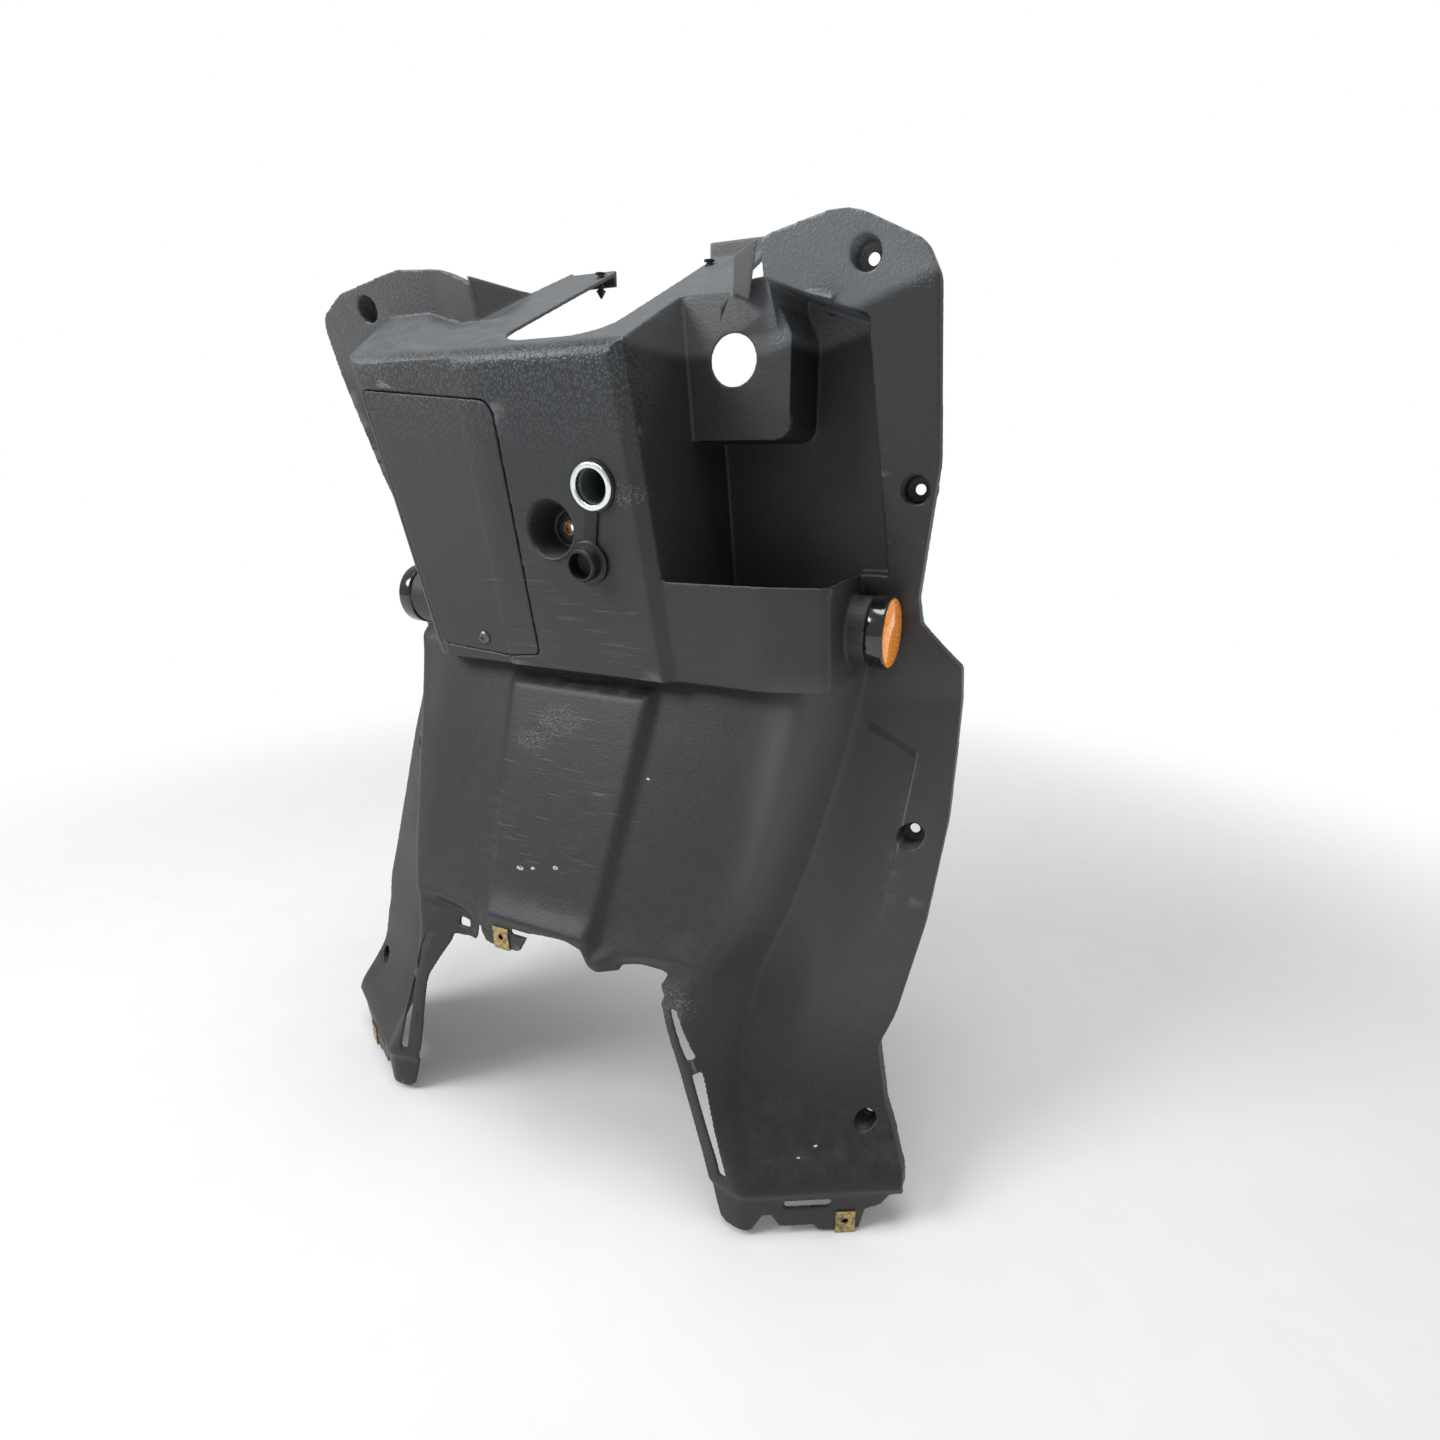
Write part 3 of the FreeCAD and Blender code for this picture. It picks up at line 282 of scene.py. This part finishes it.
def panel_lines(x, z):
    """Masks of the pressed flank panels: the line of painted highlight on the side step, and the painted
    shade on the slope at the top.
    """
    away = x.larger(0.0 - x)
    (x0, z0), (x1, z1) = PRESS_SIDE
    lean = (x1 - x0) / (z1 - z0)
    past_side = away - (z * lean + (x0 - lean * z0))
    line = past_side.ramp(*LINE_INNER) * past_side.ramp(*LINE_OUTER)
    line = line * z.ramp(*LINE_FOOT) * z.ramp(z0, z0 - PRESS_BLUR)
    (x0, z0), (x1, z1) = PRESS_TOP
    fall = (z1 - z0) / (x1 - x0)
    below_top = away * fall + (z0 - fall * x0) - z
    slope = below_top.ramp(*SLOPE_START) * below_top.ramp(*SLOPE_END)
    slope = slope * away.ramp(x0 + SLOPE_INNER[0], x0 + SLOPE_INNER[1]) * past_side.ramp(0.0, -PRESS_BLUR)
    return line, slope


def wear_and_light_layers(place, zone, pips):
    """Wear and painted light in the order in which they are painted: each layer is a mask, its strength and a colour.
    """
    x, y, z = axes(place)
    edge = place.node("ShaderNodeAttribute", {"attribute_name": "edge_highlight_and_wear"}, {}, out="Fac")
    # Pale edges: partly rubbed wear, partly a painted highlight along the convex edges.
    rubbed_and_highlit = edge.ramp(0.35, 0.95) * noise(place, 300.0, 3.0).ramp(0.20, 0.60)
    rubbed_and_highlit = rubbed_and_highlit * (1 - zone["flanks"] * aside(x, PRESSED_ASIDE))
    line, slope = panel_lines(x, z)
    scratches = strokes(place, 22.0, 760.0, 12.0).larger(strokes(place, 26.0, 640.0, -24.0))
    scratches = scratches.ramp(0.60, 0.74) * zone["pad"] * noise(place, 40.0).ramp(0.36, 0.60)
    # On the pressed flank panels the slope is a painted shade and the line a painted highlight.
    layers = [(rubbed_and_highlit, 0.50, grey(0.190, -0.03)), (slope, 0.7, grey(0.008)),
              (line, 0.6, grey(0.170, -0.03)), (scratches, 0.42, grey(0.200))]
    ragged = noise(place, 620.0, 3.0) * 2.4 - 1.2
    for spot, radius in GRITTY_PLACES:
        layers.append((near(place, spot, radius, ragged) * pips.ramp(0.52, 0.62), 0.40, grey(0.260, 0.02)))
    for spot, radius in CHIPS:
        layers.append((near(place, spot, radius, ragged) * pips.ramp(0.36, 0.50), 1.0, grey(0.620)))
    return layers


print(len(CHIPS), "chips and", len(GRITTY_PLACES), "gritty places")

# %% [markdown]
# ## The moulded plastic
# The plastic has a pebble grain, and its cells are painted with pale glints where it leans to the light. An image of
# grain would show its tiles on a panel of this size, so rounded cells and fine noise make it at any size. The zones
# with their painted light and shade, the painted glints, the dust with its painted sheen, and the wear with the
# painted highlights and shade of its edges and pressed panels are painted over one another in that order, like thin
# coats.


# %% Panel plastic
def panel_plastic():
    material, shader, place = new_finish("panel_plastic")
    x, y, z = axes(place)
    zone = panel_zones(x, y, z)
    pebbles = cells(place, 560.0).ramp(0.62, 0.12)
    pips = noise(place, 1000.0, 2.0, 0.6)
    cloud = noise(place, 14.0, 3.0)
    # Dust and painted sheen: faces that look up are painted pale and a little blue, as dust and as light from above.
    dust_and_sheen = upward(place).ramp(0.20, 0.95) * noise(place, 90.0, 4.0).ramp(0.35, 0.80)
    # Painted glints: grain cells painted pale, most on the horns and the top, where the panel leans to the light.
    painted_glints = pebbles * (1 - 0.9 * zone["deck"]) * (0.03 + 0.22 * zone["shiny"])
    # Painted light on the horns: the right horn is painted paler than the left.
    horn_painted_light = x.ramp(*LEFT_TO_RIGHT).paint(grey(0.098, -0.03), grey(0.200, -0.06))
    # Zone tones over the base: the horns, deck and band are painted light, the legs painted shade.
    layers = [(zone["middle"], 0.8, grey(0.016, 0.03)), (zone["console"], 1.0, grey(0.025, -0.12)),
              (zone["flanks"], 0.7, grey(0.056, 0.01)), (zone["legs"], 0.9, grey(0.008)),
              (zone["cover"], 0.6, grey(0.050, -0.03)), (zone["horns"], 0.75, horn_painted_light),
              (zone["deck"], 0.60, grey(0.145, -0.03)), (zone["band"], 0.8, grey(0.076, -0.07)),
              (painted_glints, 1.0, grey(0.230, -0.08)), (dust_and_sheen, 0.22, grey(0.190, -0.03))]
    tone = cloud.ramp(0.3, 0.7).paint(grey(0.030, 0.05), grey(0.040, 0.06))
    for mask, strength, colour in layers + wear_and_light_layers(place, zone, pips):
        tone = (mask * strength).paint(tone, colour)
    feed(shader, "Base Color", tone)
    feed(shader, "Roughness", 0.43 + 0.12 * cloud + 0.10 * dust_and_sheen - 0.06 * zone["shiny"])
    height = (pebbles + pips * 0.3) * (0.25 + 0.75 * zone["shiny"] - 0.60 * zone["deck"])
    bump(shader, height, 0.7, 0.0003)
    return material


PANEL = panel_plastic()
print("panel plastic has", len(PANEL.node_tree.nodes), "nodes")

# %% [markdown]
# ## Rubber, gloss black and plain black
# The socket's cap and the hook's grommet are rubber, the reflectors sit in gloss black holders, and hidden pieces
# are plain black mouldings. One dark grey would do from afar, but close up rubber is mottled and paler on top, with
# dust and a painted sheen, and gloss shows fine rubs in its clear coat. Two short recipes give all three.


# %% Black finishes
def soft_black(name, level, rough, grain):
    material, shader, place = new_finish(name, Roughness=rough)
    mottle = noise(place, 120.0, 4.0)
    pips = noise(place, grain, 3.0, 0.65)
    # Faces that look up are painted paler, as dust and a painted sheen.
    dust_and_sheen = upward(place).ramp(0.3, 1.0) * mottle.ramp(0.4, 0.7)
    tone = mottle.ramp(0.3, 0.7).paint(grey(level), grey(level * 1.7, -0.02))
    feed(shader, "Base Color", (dust_and_sheen * 0.25).paint(tone, grey(0.12)))
    feed(shader, "Roughness", rough + 0.12 * mottle)
    bump(shader, pips, 0.25, 0.0001)
    return material


def gloss_black():
    material, shader, place = new_finish("bezel_plastic", Coat_Roughness=0.06)
    rubs = strokes(place, 60.0, 1400.0, 35.0).ramp(0.62, 0.80)
    feed(shader, "Base Color", (rubs * 0.3).paint(grey(0.008), grey(0.060)))
    feed(shader, "Roughness", 0.14 + 0.30 * rubs)
    feed(shader, "Coat Weight", 0.9 - 0.4 * rubs)
    return material


RUBBER = soft_black("soft_rubber", 0.006, 0.36, 900.0)
INNER = soft_black("inner_plastic", 0.018, 0.42, 1300.0)
GLOSS = gloss_black()
print("black finishes ready")

# %% [markdown]
# ## Amber and metals
# The lenses are clear amber over prisms, the socket's ring is nickel, and the clips, studs, screws and contacts are
# gold, bright or dark steel and brass. Real glass needs many light paths, so the lens is a coated plastic with a
# faint painted glow instead, which stands in for the light that its prisms throw back. The metals share one function,
# because only their colour, their roughness and the dirt on them differ.


# %% Amber and metal finishes
def amber():
    material, shader, place = new_finish("amber_lens", Coat_Weight=1.0, Coat_Roughness=0.05,
                                         Emission_Strength=0.38)
    facet = cells(place, 560.0)
    deep = facet.ramp(0.25, 0.80).paint((0.98, 0.36, 0.022, 1), (0.78, 0.19, 0.006, 1))
    feed(shader, "Base Color", deep)
    # Painted glow: the lens gives off amber light of its own, though it is no lamp.
    feed(shader, "Emission Color", deep)
    feed(shader, "Roughness", 0.10 + 0.16 * facet)
    return material


def metal(name, colour, rough, dirt):
    material, shader, place = new_finish(name, Metallic=1.0)
    mottle = noise(place, 260.0, 4.0, 0.6)
    lines = strokes(place, 90.0, 2600.0, 18.0).ramp(0.45, 0.75)
    grime = mottle.ramp(0.44, 0.64) * dirt
    feed(shader, "Base Color", grime.paint(colour, (0.10, 0.09, 0.075, 1)))
    feed(shader, "Metallic", 1 - 0.7 * grime)
    feed(shader, "Roughness", rough + 0.10 * lines + 0.25 * grime)
    bump(shader, lines + mottle, 0.15, 0.00008)
    return material


SOCKET_LEAN = 0.129
BORE_DEPTH = (-0.0215, -0.0165)


def plated_ring():
    """Bright nickel on the front flange; down the bore it is dull and greenish, and painted dark as shade."""
    material, shader, place = new_finish("plated_ring", Metallic=1.0)
    x, y, z = axes(place)
    deep = (y + SOCKET_LEAN * z).ramp(*BORE_DEPTH)
    mottle = noise(place, 300.0, 4.0)
    # Down the bore the colour is painted dark as shade, with a dull greenish tint.
    feed(shader, "Base Color", deep.paint((0.86, 0.89, 0.88, 1), (0.085, 0.120, 0.115, 1)))
    feed(shader, "Metallic", 1 - 0.8 * deep)
    feed(shader, "Roughness", 0.20 + 0.12 * mottle + 0.25 * deep)
    bump(shader, mottle, 0.1, 0.00006)
    return material


AMBER = amber()
RING = plated_ring()
GOLD = metal("spring_steel", (0.50, 0.37, 0.15, 1), 0.40, 0.95)
ZINC = metal("zinc_steel", (0.66, 0.66, 0.65, 1), 0.34, 0.25)
DARK = metal("dark_steel", (0.16, 0.16, 0.165, 1), 0.36, 0.35)
BRASS = metal("brass_metal", (0.44, 0.24, 0.10, 1), 0.38, 0.55)
FINISHES = {"panel_plastic": PANEL, "soft_rubber": RUBBER, "inner_plastic": INNER, "bezel_plastic": GLOSS,
            "amber_lens": AMBER, "plated_ring": RING, "spring_steel": GOLD, "zinc_steel": ZINC,
            "dark_steel": DARK, "brass_metal": BRASS}
print(len(FINISHES), "finishes ready")

# %% [markdown]
# ## Rounding the moulding
# A moulded panel has no knife edges: each is rounded by a millimetre or two, and that thin bright line is what makes
# it look real. A bevel would stumble over the hundreds of triangles of a CAD mesh. So a welded copy is rebuilt on
# an even grid of voxels, relaxed a little, and thinned to a sensible count of triangles. The widest triangles that
# thinning leaves are divided again, so that what is stored at an edge stays near that edge.

# %% Remeshed copies
WELD_DISTANCE = 2e-6
SPLIT_ROUNDS = 2


def welded_copy(node):
    """A new object with the node's mesh, its loose triangles joined."""
    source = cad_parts[node].data
    piece = bpy.data.objects.new(node + "_skin", source.copy())
    bpy.context.scene.collection.objects.link(piece)
    piece.data.materials.clear()
    work = bmesh.new()
    work.from_mesh(piece.data)
    bmesh.ops.remove_doubles(work, verts=work.verts, dist=WELD_DISTANCE)
    work.to_mesh(piece.data)
    work.free()
    return piece


def bake_modifiers(piece):
    """Turn the modified object into a plain mesh."""
    bpy.context.view_layer.update()
    ready = piece.evaluated_get(bpy.context.evaluated_depsgraph_get())
    mesh = bpy.data.meshes.new_from_object(ready)
    piece.modifiers.clear()
    piece.data = mesh


def drop_flaps(work):
    """Delete pairs of faces that lie back to back on the same three corners, which dividing can leave."""
    same_corners = {}
    for face in work.faces:
        same_corners.setdefault(frozenset(face.verts), []).append(face)
    flaps = [face for faces in same_corners.values() if len(faces) > 1 for face in faces]
    bmesh.ops.delete(work, geom=flaps, context="FACES")


def split_long_edges(piece, longest):
    """Divide the wide triangles on the flats."""
    work = bmesh.new()
    work.from_mesh(piece.data)
    bmesh.ops.triangulate(work, faces=work.faces)
    for _ in range(SPLIT_ROUNDS):
        wide = [edge for edge in work.edges if edge.calc_length() > longest]
        bmesh.ops.subdivide_edges(work, edges=wide, cuts=1)
        bmesh.ops.triangulate(work, faces=[face for face in work.faces if len(face.verts) > 3])
    drop_flaps(work)
    work.to_mesh(piece.data)
    work.free()


def moulded_copy(node, voxel, passes, triangles, longest, press=None):
    """Rebuild a copy of a node on a voxel grid, relax it, press its panels and thin it."""
    piece = welded_copy(node)
    grid = piece.modifiers.new("grid", "REMESH")
    grid.mode = "VOXEL"
    grid.voxel_size = voxel
    relax = piece.modifiers.new("relax", "SMOOTH")
    relax.factor = 0.5
    relax.iterations = passes
    bake_modifiers(piece)
    if press:
        press(piece)
    full = 2 * len(piece.data.polygons)
    if full > triangles:
        thin = piece.modifiers.new("thin", "DECIMATE")
        thin.ratio = triangles / full
        bake_modifiers(piece)
    split_long_edges(piece, longest)
    piece.data.shade_smooth()
    print(node, "from", full, "to", len(piece.data.polygons), "triangles")
    return piece


def vertex_places(mesh):
    places = np.empty(len(mesh.vertices) * 3)
    mesh.vertices.foreach_get("co", places)
    return places.reshape(-1, 3)


print("remeshing ready")

# %% [markdown]
# ## Finding the edges
# On the real panel the outer edges are the first to be rubbed, and they also catch a thin highlight. They could be
# painted by hand, or found by the shader's Bevel node, which is slow to render. Here each vertex is compared with the
# middle of its neighbours: one that stands out lies on an edge, and the amount is stored as an attribute that the
# plastic reads to paint the edge pale, partly as wear and partly as a painted highlight.

# %% Edge wear and painted highlight
# Amounts at which a vertex starts to get, and fully gets, the pale edge paint of wear and painted highlight.
FLAT_ENOUGH = 0.00014
FULLY_MARKED = 0.00044


def mark_edges(piece):
    """Store how far each vertex stands out from its neighbours, as the attribute edge_highlight_and_wear."""
    mesh = piece.data
    places = vertex_places(mesh)
    count = len(places)
    normals = np.array([v.vector for v in mesh.vertex_normals])
    pairs = np.empty(len(mesh.edges) * 2, dtype=int)
    mesh.edges.foreach_get("vertices", pairs)
    a, b = pairs.reshape(-1, 2).T
    links = np.bincount(a, minlength=count) + np.bincount(b, minlength=count)

    def of_neighbours(values):
        total = np.bincount(a, values[b], count) + np.bincount(b, values[a], count)
        return total / np.maximum(links, 1)

    middle = np.stack([of_neighbours(places[:, k]) for k in range(3)], axis=1)
    out = ((places - middle) * normals).sum(axis=1)
    out = 0.5 * out + 0.5 * of_neighbours(out)
    # The plastic paints these edges pale, as wear and as a painted highlight.
    wear = np.clip((out - FLAT_ENOUGH) / (FULLY_MARKED - FLAT_ENOUGH), 0.0, 1.0)
    mesh.attributes.new("edge_highlight_and_wear", "FLOAT", "POINT").data.foreach_set("value", wear.astype(np.float32))
    print(piece.name, "has", int((wear > 0.3).sum()), "rubbed vertices")


print("edge wear from", FLAT_ENOUGH, "to", FULLY_MARKED, "m")

# %% [markdown]
# ## The pressed panels of the flanks
# Each flank has a shallow panel with a short slope at its top and a fine step at its outer side. It is too shallow
# to matter to the size of the part. A boolean cut would leave a hard rim, so the vertices of the fine grid are
# pushed forward by a smooth function of their place, before the mesh is thinned.

# %% Flank panels
PRESS_DEPTH = 0.0020
STEP_WIDTH, SLOPE_WIDTH = 0.0016, 0.0060
FADE_INWARDS, FADE_DOWN = (0.034, 0.010), (-0.275, -0.215)
PANEL_TOP, PANEL_INNER = -0.10, 0.170
INSIDE_PANEL = (0.190, -0.190)


def smooth(value, low, high):
    share = np.clip((value - low) / (high - low), 0.0, 1.0)
    return share * share * (3 - 2 * share)


def distance_from(line, x, z):
    """Distance from a line in the x and z of the flank, with a sign for its side."""
    (x0, z0), (x1, z1) = line
    return ((z1 - z0) * (x - x0) - (x1 - x0) * (z - z0)) / np.hypot(x1 - x0, z1 - z0)


def press_flank_panels(piece):
    """Press a panel into each flank; it is deepest along its drawn edges and fades inwards and down."""
    places = vertex_places(piece.data)
    x, z = np.abs(places[:, 0]), places[:, 2]
    from_side, from_top = [distance_from(line, x, z) * np.sign(distance_from(line, *INSIDE_PANEL))
                           for line in (PRESS_SIDE, PRESS_TOP)]
    depth = np.minimum(smooth(from_side, 0.0, STEP_WIDTH), smooth(from_top, 0.0, SLOPE_WIDTH))
    depth *= smooth(from_side, *FADE_INWARDS) * smooth(z, *FADE_DOWN)
    depth *= (z < PANEL_TOP) * (x > PANEL_INNER)
    places[:, 1] += PRESS_DEPTH * depth
    piece.data.vertices.foreach_set("co", places.ravel())
    print("pressed", int((depth > 0.1).sum()), "vertices")


print("panel depth", PRESS_DEPTH, "m")

# %% [markdown]
# ## The shield and its cover
# These are the two mouldings of grained plastic. The shield is large, so its voxels are a millimetre, and the cover's
# are finer, because its gap is a thin line. Each new mesh stands for its CAD node and rides on the part's only body.


# %% Shield and cover
def fit(piece, node, slot):
    """Give the piece the finish of its slot and let it stand for its CAD node."""
    piece.data.materials.clear()
    piece.data.materials.append(FINISHES[slot])
    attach(piece, "root")
    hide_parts(node)


shield = moulded_copy("leg_shield", voxel=0.0010, passes=4, triangles=110000, longest=0.016,
                      press=press_flank_panels)
cover = moulded_copy("battery_cover", voxel=0.0007, passes=3, triangles=40000, longest=0.010)
for piece, node in ((shield, "leg_shield"), (cover, "battery_cover")):
    mark_edges(piece)
    fit(piece, node, "panel_plastic")

# %% [markdown]
# ## Easing the small pieces
# Screws, rings, nuts and clips are turned or folded, with plain faces. Voxels would melt them, so the flat triangles
# are dissolved into whole faces first, and then a narrow bevel breaks the edges.

# %% Bevelled copies
SAME_FACE = radians(0.8)
BEVELLED_EDGE = radians(34)
SHARP_EDGE = radians(50)


def eased_copy(node, width):
    """A copy of a node with its edges broken by a narrow bevel."""
    piece = welded_copy(node)
    work = bmesh.new()
    work.from_mesh(piece.data)
    bmesh.ops.dissolve_limit(work, angle_limit=SAME_FACE, verts=work.verts, edges=work.edges)
    work.to_mesh(piece.data)
    work.free()
    edge = piece.modifiers.new("edge", "BEVEL")
    edge.width = width
    edge.segments = 2
    edge.limit_method = "ANGLE"
    edge.angle_limit = BEVELLED_EDGE
    edge.use_clamp_overlap = True
    bake_modifiers(piece)
    piece.data.shade_smooth()
    piece.data.set_sharp_from_angle(angle=SHARP_EDGE)
    return piece


SMALL_PIECES = [("cover_screw", 0.00015, "dark_steel"), ("cover_nut", 0.0001, "spring_steel"),
                ("socket_barrel", 0.0003, "plated_ring"), ("socket_lock_nut", 0.0004, "inner_plastic"),
                ("socket_insulator", 0.0002, "inner_plastic"), ("socket_contact", 0.0002, "brass_metal"),
                ("socket_cap", 0.0004, "soft_rubber"), ("hook_grommet", 0.0004, "soft_rubber"),
                ("hook_bush", 0.0002, "brass_metal"), ("tunnel_clip_nut", 0.00015, "spring_steel")]
for side in ("right", "left"):
    SMALL_PIECES += [("reflector_housing_" + side, 0.0005, "bezel_plastic"),
                     ("reflector_stud_" + side, 0.0002, "zinc_steel"),
                     ("reflector_nut_" + side, 0.0002, "zinc_steel"),
                     ("floor_clip_nut_" + side, 0.00015, "spring_steel"),
                     ("trim_pin_" + side, 0.0002, "inner_plastic")]
for node, width, slot in SMALL_PIECES:
    fit(eased_copy(node, width), node, slot)
print(len(SMALL_PIECES), "small pieces eased")

# %% [markdown]
# ## The prisms of the reflectors
# A reflector throws light back with a field of small corner prisms. Hundreds of copies made in Python would be slow
# to change. They repeat over a round area and follow the dome, so Geometry Nodes make them: a grid of points is
# trimmed to a circle, raised on the dome, and each point gets a six-sided prism.


# %% Prism field
def prism_tree():
    """Node group that adds prisms to a lens; its inputs are sizes in metres."""
    tree = bpy.data.node_groups.new("prism_field", "GeometryNodeTree")
    kinds = {"Geometry": "Geometry", "Radius": "Float", "Pitch": "Float", "Height": "Float", "Dome": "Float",
             "Centre": "Vector", "Turn": "Vector", "Finish": "Material"}
    for name, kind in kinds.items():
        tree.interface.new_socket(name, in_out="INPUT", socket_type="NodeSocket" + kind)
    tree.interface.new_socket("Geometry", in_out="OUTPUT", socket_type="NodeSocketGeometry")
    inputs = tree.nodes.new("NodeGroupInput").outputs
    lens, radius, pitch, height, dome, centre, turn, finish = [Wire(inputs[name]) for name in kinds]

    def step(kind, settings=None, **sockets):
        named = {key.replace("_", " "): value for key, value in sockets.items()}
        return lens.node("GeometryNode" + kind, settings or {}, named)

    wide = radius * 2.0
    count = wide / pitch + 1.0
    field = step("MeshGrid", Size_X=wide, Size_Y=wide, Vertices_X=count, Vertices_Y=count)
    spot = step("InputPosition")
    reach = spot.node("ShaderNodeVectorMath", {"operation": "LENGTH"}, {0: spot}, out="Value")
    outside = reach.maths("GREATER_THAN", reach, radius - pitch)
    field = step("DeleteGeometry", {"domain": "POINT"}, Geometry=field, Selection=outside)
    share = reach / radius
    lift = share.node("ShaderNodeCombineXYZ", {}, {"Z": dome * (1.0 - share * share)})
    field = step("SetPosition", Geometry=field, Offset=lift)
    prism = step("MeshCone", Vertices=6, Radius_Top=0.0, Radius_Bottom=pitch * 0.56, Depth=height)
    prisms = step("RealizeInstances", Geometry=step("InstanceOnPoints", Points=field, Instance=prism))
    prisms = step("Transform", Geometry=prisms, Translation=centre, Rotation=turn)
    both = step("JoinGeometry", Geometry=lens)
    tree.links.new(prisms.socket, both.socket.node.inputs[0])
    done = step("SetMaterial", Geometry=both, Material=finish)
    tree.links.new(done.socket, tree.nodes.new("NodeGroupOutput").inputs[0])
    return tree


PRISMS = prism_tree()
print("prism field has", len(PRISMS.nodes), "nodes")

# %% Reflector lenses
LENS_EDGE = 0.0002
PRISM_INSET = 0.00172
PRISM_SIZES = {"Radius": 0.0192, "Pitch": 0.0018, "Height": 0.0007, "Dome": 0.0012}
for side, sign in (("right", 1), ("left", -1)):
    node = "reflector_lens_" + side
    low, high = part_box(node)
    lens = eased_copy(node, LENS_EDGE)
    face_x = high.x if sign > 0 else low.x
    middle = (low + high) / 2
    values = PRISM_SIZES | {"Centre": (face_x - sign * PRISM_INSET, middle.y, middle.z),
                            "Turn": (0.0, sign * pi / 2, 0.0), "Finish": AMBER}
    field = lens.modifiers.new("prisms", "NODES")
    field.node_group = PRISMS
    for item in PRISMS.interface.items_tree:
        if item.in_out == "INPUT" and item.name in values:
            field[item.identifier] = values[item.name]
    bake_modifiers(lens)
    fit(lens, node, "amber_lens")
    print(node, "has", len(lens.data.polygons), "faces")

# %% [markdown]
# ## Floor
# The floor is pale and keeps the shadow near the object. A bent backdrop would need its own camera distance, so a
# flat disc is used instead: far away it turns into the white of the background, and no horizon shows.

# %% Floor
FLOOR_Z = cad_box[0].z - 0.0005
FLOOR_RADIUS = 6.0
FLOOR_CORNERS = 64
FADE_OUT = (0.5, 1.265)


def floor_finish():
    material, shader, place = new_finish("pale_floor", Roughness=0.6)
    x, y, z = axes(place)
    tree = material.node_tree
    far_off = (x * x + y * y).ramp(FADE_OUT[0] ** 2, FADE_OUT[1] ** 2)
    ray = place.node("ShaderNodeLightPath", {}, {})
    seen = Wire(ray.socket.node.outputs["Is Camera Ray"])
    for name in ("Is Glossy Ray", "Is Transmission Ray"):
        seen = seen.larger(Wire(ray.socket.node.outputs[name]))
    feed(shader, "Base Color", noise(place, 30.0).paint(grey(0.80), grey(0.84)))
    white = place.node("ShaderNodeEmission", {}, {"Color": grey(1.0), "Strength": 1.0})
    surface = Wire(shader.outputs[0])
    mixed = place.node("ShaderNodeMixShader", {}, {0: far_off * seen, 1: surface, 2: white})
    tree.links.new(mixed.socket, tree.nodes["Material Output"].inputs["Surface"])
    return material


floor_mesh = bpy.data.meshes.new("floor")
turns = [2 * pi * k / FLOOR_CORNERS for k in range(FLOOR_CORNERS)]
rim = [(FLOOR_RADIUS * cos(turn), FLOOR_RADIUS * sin(turn), FLOOR_Z) for turn in turns]
floor_mesh.from_pydata(rim, [], [tuple(range(FLOOR_CORNERS))])
floor = bpy.data.objects.new("floor", floor_mesh)
floor_mesh.materials.append(floor_finish())
bpy.context.scene.collection.objects.link(floor)
print("floor at", round(FLOOR_Z, 4), "m")

# %% [markdown]
# ## Light and camera
# Black plastic shows little but what it reflects. A single sun would leave it a hole in the picture, so one large
# lamp from the upper left, one from above and an even sky give it broad soft reflections. The camera stands where
# the photograph was taken from.

# %% Light
SKY_LEVEL = 0.42
world = bpy.data.worlds.new("studio")
bpy.context.scene.world = world
world.use_nodes = True
sky = world.node_tree.nodes["Background"]
sky_ray = Wire(world.node_tree.nodes.new("ShaderNodeLightPath").outputs["Is Camera Ray"])
feed(sky, "Strength", sky_ray.ramp(0.0, 1.0, SKY_LEVEL, 1.0))
sky.inputs["Color"].default_value = grey(1.0)


def softbox(name, place, target, size, watts, colour):
    lamp = bpy.data.lights.new(name, "AREA")
    lamp.shape = "DISK"
    lamp.size = size
    lamp.energy = watts
    lamp.color = colour
    box = bpy.data.objects.new(name, lamp)
    aim = Vector(target) - Vector(place)
    box.matrix_world = Matrix.Translation(place) @ aim.to_track_quat("-Z", "Y").to_matrix().to_4x4()
    bpy.context.scene.collection.objects.link(box)
    print(name, "gives", watts, "W")


softbox("window", (-1.1, -1.2, 1.2), (0.0, 0.0, -0.1), 1.0, 30.0, (0.97, 0.985, 1.0))
softbox("ceiling", (0.1, -0.1, 1.3), (0.0, 0.0, 0.0), 0.9, 14.0, (0.95, 0.98, 1.0))

# %% Camera
CAMERA_PLACE = (0.3208, -0.4377, 0.0371)
CAMERA_TURN = 25.97
CAMERA_TILT = 17.28
CAMERA_LENS, CAMERA_SENSOR = 20.3, 36.0
camera_data = bpy.data.cameras.new("camera")
camera_data.lens = CAMERA_LENS
camera_data.sensor_width = CAMERA_SENSOR
camera_data.clip_start = 0.01
camera = bpy.data.objects.new("camera", camera_data)
camera.location = CAMERA_PLACE
camera.rotation_euler = (radians(90 - CAMERA_TILT), 0.0, radians(CAMERA_TURN))
bpy.context.scene.collection.objects.link(camera)
bpy.context.scene.camera = camera
bpy.context.scene.view_settings.view_transform = "Standard"
print("camera at", CAMERA_PLACE)
